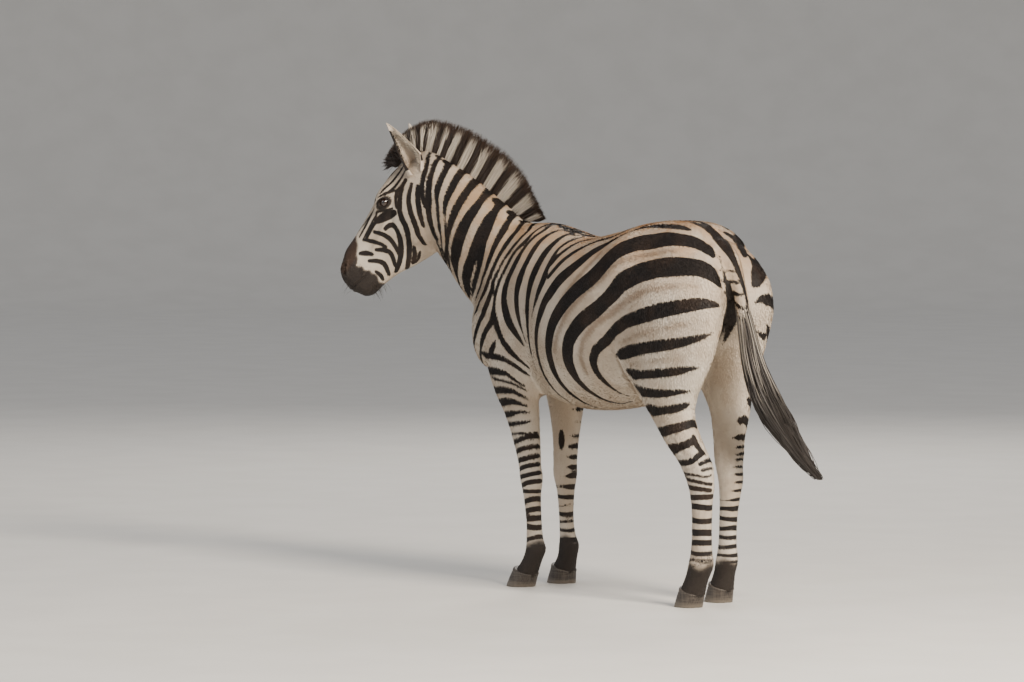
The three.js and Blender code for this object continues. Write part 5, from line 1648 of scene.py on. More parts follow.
@dataclass(frozen=True)
class HairFinish:
    """Long hair that is pale or black at the root as the skin is, and dark at the tip."""

    name: str
    pale: tuple = (0.50, 0.42, 0.33, 1)
    dark: tuple = (0.017, 0.011, 0.008, 1)
    tip: tuple = (0.034, 0.019, 0.012, 1)
    tip_from: float = 0.66
    tip_to: float = 0.86
    roughness: float = 0.5

    def build(self) -> bpy.types.Material:
        """Makes the material."""
        material = bpy.data.materials.new(self.name)
        n = Nodes(material)
        vary = n.attribute("vary")
        pale = n.mix(vary, self.pale, tuple(c * 0.62 for c in self.pale[:3]) + (1,))
        dark = n.mix(vary, self.dark, tuple(c * 2.1 for c in self.dark[:3]) + (1,))
        colour = n.mix(n.ramp(n.attribute("stripe"), -2, 2), pale, dark)
        height = n.math("ADD", n.attribute("tip"), n.math("MULTIPLY", n.math("SUBTRACT", vary, 0.5), 0.22))
        tip = n.mix(vary, self.tip, tuple(c * 1.9 for c in self.tip[:3]) + (1,))
        colour = n.mix(n.ramp(height, self.tip_from, self.tip_to), colour, tip)
        colour = n.mix(n.math("MULTIPLY", n.noise(900, 2), 0.35), colour, (0.02, 0.014, 0.01, 1))
        n.surface(colour, self.roughness, n.bump(n.noise(1600, 2), 0.0006, 0.5), Specular_IOR_Level=0.35)
        return material


@dataclass
class Mane:
    """Upright mane: a dense wall of locks on a thin core, with the neck's bands running up through it."""

    marks: Markings
    body: BodyField
    skin: MeshData
    locks: int = 9000
    half_thickness: float = 17.0
    core_height: float = 0.80

    def rows(self) -> Array:
        """The crest and the free edge, close set."""
        return smooth_rows(MANE_ROWS, 12)

    def at(self, rows: Array, t: Array) -> Array:
        """Rows at shares t of the way along."""
        place = t * (len(rows) - 1)
        return np.stack([np.interp(place, np.arange(len(rows)), rows[:, i]) for i in range(6)], 1)

    def stripe(self, base: Array, rise: Array, side: Array, t: Array) -> Array:
        """The band that each root stands in, read on the skin just below the crest.

        Args:
            base: the roots.
            rise: the way each lock grows.
            side: the level direction square to the crest.
            t: the share of the way from forelock to withers.

        Returns:
            Positive in a black band.
        """
        left = side * np.where(side[:, 1:2] > 0, -1, 1)
        aim = base - unit_rows(rise) * 26 + left * 60
        skin = np.array([self.marks.tree.find_nearest(Vector(q))[0] for q in aim])
        found = self.marks.stripe(skin, self.body.parts(skin))
        bars = 7 * np.sin(t * 150)
        return np.where(t < 0.15, 8.0, np.where(t < 0.32, np.maximum(found, bars), found))

    def core(self, rows: Array) -> MeshData:
        """The thin wall of hair inside the mane."""
        t = np.linspace(0.012, 0.985, 150)
        row = self.at(rows, t)
        base, rise = row[:, :3], row[:, 3:] - row[:, :3]
        side = np.gradient(base, axis=0)
        side = unit_rows(np.column_stack([-side[:, 1], side[:, 0], np.zeros(len(side))]))
        shares = np.array([-0.25, 0.1, 0.4, 0.65, self.core_height])
        halves = np.array([12.0, 12.0, 9.0, 6.0, 1.5])
        ring = [(s, h) for s, h in zip(shares, halves)] + [(s, -h) for s, h in zip(shares[::-1], halves[::-1])]
        verts = np.stack([base + rise * s + side * h for s, h in ring], 1)
        n, m = len(ring), len(t)
        faces = [[i * n + j, i * n + (j + 1) % n, (i + 1) * n + (j + 1) % n, (i + 1) * n + j]
                 for i in range(m - 1) for j in range(n)]
        faces += [list(range(n))[::-1], [(m - 1) * n + j for j in range(n)]]
        tip = np.tile(np.clip([s for s, _ in ring], 0, 1), m)
        stripe = np.repeat(self.stripe(base, rise, side, t), n)
        data = MeshData(verts.reshape(-1, 3), faces,
                        {"tip": tip, "vary": np.full(n * m, 0.8), "stripe": stripe})
        return data

    def build(self, finish: HairFinish) -> list[bpy.types.Object]:
        """Builds the mane's pieces."""
        rng = np.random.default_rng(RANDOM_SEED)
        rows = self.rows()
        t = rng.random(self.locks) ** 0.96
        row = self.at(rows, t)
        ahead = self.at(rows, np.clip(t + 0.01, 0, 1))[:, :3] - self.at(rows, np.clip(t - 0.01, 0, 1))[:, :3]
        side = unit_rows(np.column_stack([-ahead[:, 1], ahead[:, 0], np.zeros(self.locks)]))
        ahead = unit_rows(ahead)
        offset = rng.uniform(-1, 1, self.locks)
        ends = smoothstep(0, 0.05, t) * smoothstep(1, 0.93, t)
        base = row[:, :3] + side * (offset * self.half_thickness * (0.45 + 0.55 * ends))[:, None]
        rise = row[:, 3:] - row[:, :3]
        height = rng.uniform(0.86, 1.03, self.locks) * (1 - 0.16 * offset ** 2) - 0.35 * (rng.random(self.locks) < 0.16)
        lock = smoothstep(0.11, 0.02, t)
        height = np.clip(height, 0.45, 1.035) * (1 - lock * rng.uniform(-0.25, 0.55, self.locks))
        lean = rng.normal(0, 5.0, self.locks) * (1 + 2.5 * lock)
        wave = rng.normal(0, 2.2, self.locks)
        shares = np.linspace(-0.16, 1, 6)
        bend = rng.normal(0, 3.0, self.locks)
        paths = np.stack([
            base + rise * (height * s)[:, None] + ahead * (lean * s * s + wave * math.sin(s * 4))[:, None]
            - side * (offset * self.half_thickness * 0.62 * max(s, 0) ** 1.5)[:, None]
            + side * (bend * s)[:, None] for s in shares], 1)
        size = rng.uniform(3.0, 5.6, self.locks) * 1
        widths = size[:, None] * np.array([0.8, 1.0, 1.0, 0.85, 0.6, 0.10])[None]
        stripe = self.stripe(row[:, :3], rise, side, t)
        chart = CHARTS[Part.NECK]
        roots = np.column_stack([chart.left + chart.width * (0.5 + 0.02 * offset),
                                 chart.bottom + chart.height * (1 - t) * 0.9])
        material = finish.build()
        made = []
        for name, chosen in (("mane_hair_front", t < 0.5), ("mane_hair_back", t >= 0.5)):
            strands = Strands(paths[chosen], widths[chosen])
            data = strands.build()
            data.floats["stripe"] = np.repeat(stripe[chosen], 18)
            data.floats["tip"] = np.clip(np.tile(np.repeat(shares, 3), chosen.sum())
                                         * np.repeat(height[chosen], 18), 0, 1)
            data.uv = strands.patch_uv(roots[chosen], data)
            made.append(data.make(name, material, smooth=False))
        core = self.core(rows)
        loops = np.concatenate([np.asarray(f) for f in core.faces])
        core.uv = np.column_stack([chart.left + 0.1 * core.floats["tip"][loops],
                                   chart.bottom + (loops / len(core.verts)) * chart.height])
        made.append(core.make("mane_core", material))
        for piece in made:
            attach(piece, ROOT)
        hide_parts("mane")
        return made


@dataclass
class Tail:
    """Long hair of the tail, over a short core, hanging from the dock."""

    locks: int = 1500
    stations: int = 15

    def build(self, finish: HairFinish) -> list[bpy.types.Object]:
        """Builds the tail's hair."""
        rng = np.random.default_rng(RANDOM_SEED + 1)
        rows = smooth_rows(((588, -5, 1120, 26, 26), (603, -1, 1062, 25, 25), (611, 4, 1015, 25, 25))
                           + TAIL_HAIR_ROWS, 10)
        n = self.locks
        start = 0.06 + 0.34 * rng.beta(2.2, 1.6, n)
        start[: n // 3] = rng.uniform(0.05, 0.60, n // 3)
        end = np.clip(rng.normal(0.93, 0.07, n), 0.62, 1.0)
        turn = rng.uniform(0, 2 * math.pi, n)
        spread = np.sqrt(rng.uniform(0.05, 1.0, n))
        phase = rng.uniform(0, 2 * math.pi, n)
        swell = rng.uniform(1.0, 7.0, n) * np.where(rng.random(n) < 0.12, 2.6, 1.0)
        along = np.linspace(0, 1, self.stations)
        place = (start[:, None] + (end - start)[:, None] * along[None]) * (len(rows) - 1)
        row = np.stack([np.interp(place, np.arange(len(rows)), rows[:, i]) for i in range(5)], 2)
        reach = (0.85 + 2.1 * along * (1.12 - along))[None] * spread[:, None]
        sway = np.sin(place * 0.13 + phase[:, None]) * swell[:, None] * along[None]
        paths = row[..., :3].copy()
        paths[..., 0] += row[..., 3] * 0.94 * reach * np.cos(turn)[:, None] + sway * 0.6
        paths[..., 1] += row[..., 4] * 0.94 * reach * np.sin(turn)[:, None] + sway
        size = rng.uniform(3.0, 6.5, n) * 1.0
        widths = size[:, None] * (0.35 + 0.65 * np.sin(np.pi * np.clip(along * 0.85 + 0.12, 0, 1)))[None]
        widths[:, -1] = 0.4
        strands = Strands(paths, widths, flat=0.6)
        data = strands.build()
        data.floats["stripe"] = np.repeat(np.where(rng.random(n) < 0.70, 9.0, -9.0), 3 * self.stations)
        data.floats["tip"] = np.clip(np.repeat((place / len(rows)).ravel(), 3) * 1.15, 0, 1)
        data.uv = strands.patch_uv(np.column_stack([0.30 + 0.25 * turn / 6.3, np.full(n, 0.395)]), data)
        hair = data.make("tail_hair", finish.build(), smooth=False)
        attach(hair, ROOT)
        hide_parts("tail_tuft")
        return [hair]


# ------------------------------------------------------------------ eyes, lashes, whiskers

@dataclass(frozen=True)
class EyeFinish:
    """Wet dark eye: brown iris, level black pupil."""

    name: str = "eye"
    iris: tuple = (0.035, 0.016, 0.008, 1)
    pupil: tuple = (0.003, 0.003, 0.004, 1)

    def build(self) -> bpy.types.Material:
        """Makes the material."""
        material = bpy.data.materials.new(self.name)
        n = Nodes(material)
        threads = n.mix(n.ramp(n.noise(800, 3), 0.4, 0.7), self.iris, (0.018, 0.008, 0.005, 1))
        colour = n.mix(n.ramp(n.attribute("pupil"), 0.9, 1.1), self.pupil, threads)
        colour = n.mix(n.ramp(n.attribute("rim"), 0.85, 1.0), colour, (0.012, 0.008, 0.007, 1))
        n.surface(colour, 0.05, None, Coat_Weight=0.8, Coat_Roughness=0.03, Specular_IOR_Level=0.6)
        return material


@dataclass
class Eyes:
    """Eyeballs with a bulging cornea, lashes over them."""

    segments: int = 48
    rings: int = 32
    cornea: float = 1.6

    def ball(self, side: int) -> MeshData:
        """One eyeball, its poles on the axis of sight."""
        theta = np.linspace(0, math.pi, self.rings + 1)[1:-1]
        phi = np.arange(self.segments) * 2 * math.pi / self.segments
        t, f = (g.ravel() for g in np.meshgrid(theta, phi, indexing="ij"))
        t = np.concatenate([[0], t, [math.pi]])
        f = np.concatenate([[0], f, [0]])
        r = EYE_RADIUS - 0.6 + self.cornea * smoothstep(0.62, 0.25, t)
        local = np.column_stack([np.sin(t) * np.cos(f), np.sin(t) * np.sin(f), np.cos(t) * side]) * r[:, None]
        verts = on_head(*EYE_AT[:2], EYE_AT[2] * side) + local @ HEAD_AXES
        n, m = self.segments, self.rings - 1
        faces = [[0, 1 + j, 1 + (j + 1) % n] for j in range(n)]
        faces += [[1 + i * n + j, 1 + (i + 1) * n + j, 1 + (i + 1) * n + (j + 1) % n, 1 + i * n + (j + 1) % n]
                  for i in range(m - 1) for j in range(n)]
        last = 1 + m * n
        faces += [[last, last - n + (j + 1) % n, last - n + j] for j in range(n)]
        if side < 0:
            faces = [face[::-1] for face in faces]
        along = local @ EYE_LONG
        high = local @ np.array((-EYE_LONG[1], EYE_LONG[0], 0))
        pupil = np.where(local[:, 2] * side > 0, np.hypot(along / 6.5, high / 3.6), 9)
        return MeshData(verts, faces, {"pupil": pupil, "rim": np.hypot(along, high) / 17})

    def lashes(self, side: int, rng: np.random.Generator) -> Array:
        """Paths of the upper lashes of one eye."""
        paths = []
        high = np.array((-EYE_LONG[1], EYE_LONG[0], 0))
        for t in np.linspace(-0.75, 0.75, 26):
            v1, v2 = t * EYE_HALF_LONG, EYE_HALF_HIGH * 0.93 * math.sqrt(1 - t * t)
            out = math.sqrt(max(0.0, (EYE_RADIUS + 2.6) ** 2 - v1 * v1 - v2 * v2))
            root = np.array(EYE_AT) + EYE_LONG * v1 + high * v2 + np.array([0, 0, out])
            reach = rng.uniform(11, 17)
            away = unit(np.array([0, 0, 1.0]) + 0.35 * high + EYE_LONG * (0.5 * t + rng.normal(0, 0.1)))
            sag = -high * 0.30
            points = [root + away * reach * s + sag * reach * s * s for s in np.linspace(-0.1, 1, 5)]
            paths.append([on_head(p[0], p[1], p[2] * side) for p in points])
        return np.array(paths)

    def build(self) -> list[bpy.types.Object]:
        """Builds eyes and lashes."""
        rng = np.random.default_rng(RANDOM_SEED + 2)
        material = EyeFinish().build()
        made = []
        for name, side in (("left", 1), ("right", -1)):
            piece = self.ball(side).make(f"eyeball_{name}", material)
            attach(piece, ROOT)
            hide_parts(f"eye_{name}")
            made.append(piece)
        paths = np.concatenate([self.lashes(1, rng), self.lashes(-1, rng)])
        widths = np.tile([1.1, 1.0, 0.8, 0.5, 0.15], (len(paths), 1))
        data = Strands(paths, widths, flat=1.0).build()
        data.floats["stripe"] = np.full(len(data.verts), 9.0)
        data.uv = Strands(paths, widths).patch_uv(np.full((len(paths), 2), 0.8), data)
        piece = data.make("lashes", HairFinish("lash_hair", tip=(0.012, 0.009, 0.008, 1)).build())
        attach(piece, ROOT)
        return made + [piece]


@dataclass
class Whiskers:
    """Stiff hairs of the lips and the chin."""

    body: BodyField
    count: int = 90

    def build(self) -> list[bpy.types.Object]:
        """Builds the whiskers."""
        rng = np.random.default_rng(RANDOM_SEED + 3)
        side = rng.choice([-1.0, 1.0], self.count)
        low = rng.random(self.count) < 0.5
        a = np.where(low, rng.uniform(455, 515, self.count), rng.uniform(455, 535, self.count))
        b = np.where(low, rng.uniform(-215, -175, self.count), rng.uniform(-135, -95, self.count))
        c = side * rng.uniform(8, 42, self.count)
        p = POLL + np.column_stack([a, b, c]) @ HEAD_AXES
        for _ in range(5):
            p = pull_to(self.body.head_only, p, 18)
        out = unit_rows(gradient(self.body.head_only, p))
        reach = rng.uniform(16, 40, self.count)
        aim = unit_rows(out + 0.35 * DOWN_FACE + rng.normal(0, 0.18, (self.count, 3)))
        paths = np.stack([p - out * 3 + aim * (reach * s)[:, None]
                          + np.array([0, 0, -1]) * (reach * 0.25 * s * s)[:, None] for s in np.linspace(0, 1, 6)], 1)
        widths = np.tile([1.0, 0.9, 0.8, 0.65, 0.45, 0.15], (self.count, 1))
        data = Strands(paths, widths, flat=1.0).build()
        data.floats["stripe"] = np.full(len(data.verts), 9.0)
        data.uv = Strands(paths, widths).patch_uv(np.full((self.count, 2), 0.82), data)
        piece = data.make("whiskers", HairFinish("whisker_hair", tip=(0.03, 0.024, 0.02, 1)).build())
        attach(piece, ROOT)
        return [piece]


# ------------------------------------------------------------------ hooves

@dataclass(frozen=True)
class HornFinish:
    """Hoof horn: dark grey-brown with growth rings and fine upright lines, dusty at the ground."""

    name: str = "horn"

    def build(self) -> bpy.types.Material:
        """Makes the material."""
        material = bpy.data.materials.new(self.name)
        n = Nodes(material)
        lines = n.noise(1.0, 3, None, (420, 420, 14))
        rings = n.noise(1.0, 2, None, (12, 12, 300))
        colour = n.mix(n.ramp(lines, 0.35, 0.7), (0.030, 0.024, 0.021, 1), (0.085, 0.070, 0.058, 1))
        colour = n.mix(n.math("MULTIPLY", n.ramp(rings, 0.4, 0.7), 0.5), colour, (0.13, 0.11, 0.09, 1))
        low = n.math("MULTIPLY", n.ramp(n.attribute("height"), 0.45, 0.0), 0.6)
        colour = n.mix(low, colour, (0.22, 0.185, 0.145, 1))
        height = n.math("ADD", n.math("MULTIPLY", rings, 0.6), n.math("MULTIPLY", lines, 0.4))
        n.surface(colour, 0.52, n.bump(height, 0.0012, 0.8), Specular_IOR_Level=0.4)
        return material


@dataclass
class Hooves:
    """Four hooves: flat soles, sloping toes, heels with bulbs, a swollen coronet."""

    sides: int = 72
    levels: int = 22
    growth: float = 0.45

    def hoof(self, top: Sequence[float], sole: Sequence[float], top_half: Sequence[float],
             sole_half: Sequence[float]) -> MeshData:
        """One hoof.

        Args:
            top: middle of the coronet.
            sole: middle of the sole.
            top_half: half length and half width at the coronet.
            sole_half: half length and half width at the sole.

        Returns:
            Its mesh.
        """
        angle = np.arange(self.sides) * 2 * math.pi / self.sides
        c, s = np.cos(angle), np.sin(angle)
        heel = np.maximum(0, c)
        cleft = 1 - 0.12 * heel ** 2 - 0.10 * np.exp(-(np.abs(s) / 0.20) ** 2) * (c > 0)
        verts, height = [], []
        shares = np.concatenate([[0, 0.012], np.linspace(0.05, 1.0, self.levels), [1.03, 1.02]])
        for n, share in enumerate(shares):
            t = min(share, 1.0)
            inset = (4.0, 1.2)[n] if n < 2 else 0.0
            if n >= len(shares) - 2:
                inset = (4.5, 16.0)[n - len(shares) + 2]
            ripple = self.growth * math.sin(share * 46) * (0.03 < share < 0.9)
            crown = 1.8 * math.exp(-((share - 0.94) / 0.07) ** 2)
            x = (sole_half[0] + (top_half[0] - sole_half[0]) * t - inset + ripple + crown) * c * cleft
            y = (sole_half[1] + (top_half[1] - sole_half[1]) * t - inset + ripple + crown) * s
            cx = sole[0] + (top[0] - sole[0]) * t
            cy = sole[1] + (top[1] - sole[1]) * t
            high = CORONET_HEIGHT - (x + cx - top[0]) * math.tan(CORONET_TILT)
            verts.append(np.column_stack([cx + x, cy + y, high * share]))
            height.append(np.full(self.sides, t))
        n, m = self.sides, len(shares)
        faces = [[i * n + j, i * n + (j + 1) % n, (i + 1) * n + (j + 1) % n, (i + 1) * n + j]
                 for i in range(m - 1) for j in range(n)]
        faces += [list(range(n))[::-1], [(m - 1) * n + j for j in range(n)]]
        return MeshData(np.concatenate(verts), faces, {"height": np.concatenate(height)})

    def build(self) -> list[bpy.types.Object]:
        """Builds the hooves."""
        material = HornFinish().build()
        made = []
        for name, (top, sole, top_half, sole_half) in HOOVES.items():
            piece = self.hoof(top, sole, top_half, sole_half).make(f"hoof_{name}", material)
            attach(piece, ROOT)
            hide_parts(f"{name}_hoof")
            made.append(piece)
        return made


# ------------------------------------------------------------------ ears

@dataclass
class Ear:
    """One ear: a thin rolled leaf, open along one side."""

    root: Array
    tip: Array
    open_to: Array
    sweep: float
    chart: tuple[float, float]
    front_sign: int
    half_width: float = 37.0
    stations: int = 30
    across: int = 22

    def build(self) -> MeshData:
        """Builds the leaf with its markings.

        Returns:
            The mesh, painted like the skin.
        """
        axis = unit(self.tip - self.root)
        face = unit(self.open_to - (self.open_to @ axis) * axis)
        back = -FORWARD - (-FORWARD @ axis) * axis
        back = unit(back)
        side = np.cross(axis, face)
        length = np.linalg.norm(self.tip - self.root)
        verts, floats = [], {"stripe": [], "dark": [], "nose": [], "shadow": [], "fine": []}
        uv_of = []
        for n in range(self.stations + 1):
            u = n / self.stations
            half = self.half_width * 1.35 * min(1, 0.65 + 1.2 * u) * (1 - u) ** 0.8 + 1.6
            spread = math.radians(150 - 92 * min(1, 1.3 * u))
            wall = 4.4 * (1 - 0.55 * u)
            radius = half / math.sin(min(spread, math.pi / 2))
            middle = self.root + axis * length * u * 0.995 + back * half * self.sweep + face * radius * 0.5
            for layer, r in ((0, radius - 1.0), (1, max(radius - 1.0 - wall, 0.4))):
                line = range(self.across + 1) if layer == 0 else range(self.across, -1, -1)
                for i in line:
                    share = -1 + 2 * i / self.across
                    angle = spread * share
                    verts.append(middle + side * r * math.sin(angle) - face * r * math.cos(angle))
                    front = share * self.front_sign
                    # black band along the front of the ear, on both layers: painted shade on the ear's shaded front
                    # side
                    rim = (front - 0.45) * 60 if 0.10 < u < 0.86 else -20
                    if layer == 0:
                        bars = 14 - abs(u - 0.62) * 120
                        low = 8 - abs(u - 0.22) * 130
                        stripe = max(rim, bars, low) if u < 0.9 else -20
                    else:
                        stripe = max(rim, -30)
                    floats["stripe"].append(stripe)
                    floats["dark"].append(0.0)
                    floats["nose"].append(0.0)
                    # darker deep inside the ear towards its root: painted shade in the hollow, and its darker hair
                    # there
                    deep = 0.95 * max(0, 1 - u * 2.1) * max(0, 1 - abs(share) ** 2) if layer else 0.0
                    floats["shadow"].append(deep)
                    floats["fine"].append(1.0)
                    uv_of.append((self.chart[0] + 0.055 * (i / self.across),
                                  self.chart[1] + layer * 0.08 + 0.07 * u))
        n = 2 * (self.across + 1)
        faces = [[i * n + j, i * n + (j + 1) % n, (i + 1) * n + (j + 1) % n, (i + 1) * n + j]
                 for i in range(self.stations) for j in range(n)]
        faces += [list(range(n))[::-1], [self.stations * n + j for j in range(n)]]
        verts = np.array(verts)
        data = MeshData(verts, faces, {k: np.array(v) for k, v in floats.items()})
        centre = verts.mean(0)
        data.vectors = {"lie": np.tile(axis, (len(verts), 1))}
        mesh = bmesh.new()
        made = [mesh.verts.new(v) for v in verts]
        for f in faces:
            mesh.faces.new([made[i] for i in f])
        volume = mesh.calc_volume(signed=True)
        mesh.free()
        if volume < 0:
            data.faces = [f[::-1] for f in faces]
        uv_of = np.array(uv_of)
        data.uv = uv_of[np.concatenate([np.asarray(f) for f in data.faces])]
        return data

    def hair_roots(self, rng: np.random.Generator, count: int) -> tuple[Array, Array]:
        """Roots and directions of the pale hair inside the ear."""
        axis = unit(self.tip - self.root)
        face = unit(self.open_to - (self.open_to @ axis) * axis)
        back = unit(-FORWARD - (-FORWARD @ axis) * axis)
        side = np.cross(axis, face)
        length = np.linalg.norm(self.tip - self.root)
        u = rng.uniform(0.10, 0.80, count)
        half = self.half_width * 1.35 * np.minimum(1, 0.65 + 1.2 * u) * (1 - u) ** 0.8 + 1.6
        spread = np.radians(150 - 92 * np.minimum(1, 1.3 * u))
        radius = half / np.sin(np.minimum(spread, math.pi / 2))
        share = np.where(rng.random(count) < 0.08, 1, -1) * self.front_sign * rng.uniform(0.35, 0.97, count)
        angle = spread * share
        middle = (self.root + axis * (length * u)[:, None] + back * (half * self.sweep)[:, None]
                  + face * (radius * 0.5)[:, None])
        r = (radius - 5)[:, None]
        p = middle + side * r * np.sin(angle)[:, None] - face * r * np.cos(angle)[:, None]
        aim = unit_rows(-side * np.sin(angle)[:, None] * 0.8 + face * 0.45 + axis * 0.55
                        + rng.normal(0, 0.2, (count, 3)))
        return p, aim


EARS = {
    "left": Ear(on_head(80, -68, 58), on_head(-29, 114, 81), HEAD_LEFT * 0.9 - FORWARD * 0.35, 1.0, (0.925, 0.04), -1),
    "right": Ear(on_head(76, -68, -55), on_head(-43, 94, -86), -HEAD_LEFT * 0.9 + FORWARD * 0.25, 0.35,
                 (0.925, 0.22), 1),
}


def join(first: MeshData, *others: MeshData) -> MeshData:
    """One mesh made of several that carry the same attributes."""
    faces = [list(f) for f in first.faces]
    start = len(first.verts)
    for other in others:
        faces += [[i + start for i in f] for f in other.faces]
        start += len(other.verts)
    every = (first, *others)
    return MeshData(
        np.concatenate([m.verts for m in every]), faces,
        {k: np.concatenate([m.floats[k] for m in every]) for k in first.floats},
        {k: np.concatenate([m.vectors[k] for m in every]) for k in first.vectors},
        np.concatenate([m.uv for m in every]))


def ear_hair() -> bpy.types.Object:
    """The pale hair that fills both ears."""
    rng = np.random.default_rng(RANDOM_SEED + 4)
    count = 900
    paths = []
    for ear in EARS.values():
        p, aim = ear.hair_roots(rng, count)
        reach = rng.uniform(12, 26, count)
        paths.append(np.stack([p + aim * (reach * s)[:, None] for s in np.linspace(-0.08, 1, 4)], 1))
    paths = np.concatenate(paths)
    widths = np.tile([1.6, 1.8, 1.3, 0.2], (len(paths), 1)) * rng.uniform(0.7, 1.3, (len(paths), 1))
    data = Strands(paths, widths).build()
    data.floats["stripe"] = np.full(len(data.verts), -9.0)
    data.uv = Strands(paths, widths).patch_uv(np.full((len(paths), 2), 0.95), data)
    finish = HairFinish("ear_hair", pale=(0.66, 0.57, 0.46, 1), tip_from=2.0, tip_to=3.0)
    piece = data.make("ear_hair", finish.build())
    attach(piece, ROOT)
    return piece


# ------------------------------------------------------------------ coat

class CoatZone(Enum):
    """The pieces of the coat: parts of the skin, tufts per square metre."""

    TRUNK_LEFT = ("coat_trunk_left", (Part.TRUNK,), -1, 46000)
    TRUNK_RIGHT = ("coat_trunk_right", (Part.TRUNK,), 1, 46000)
    NECK = ("coat_neck", (Part.NECK,), 0, 60000)
    HEAD = ("coat_head", (Part.HEAD,), 0, 90000)
    HIND = ("coat_hind_legs", (Part.HIND_LEFT, Part.HIND_RIGHT), 0, 52000)
    FORE = ("coat_fore_legs", (Part.FORE_LEFT, Part.FORE_RIGHT), 0, 62000)


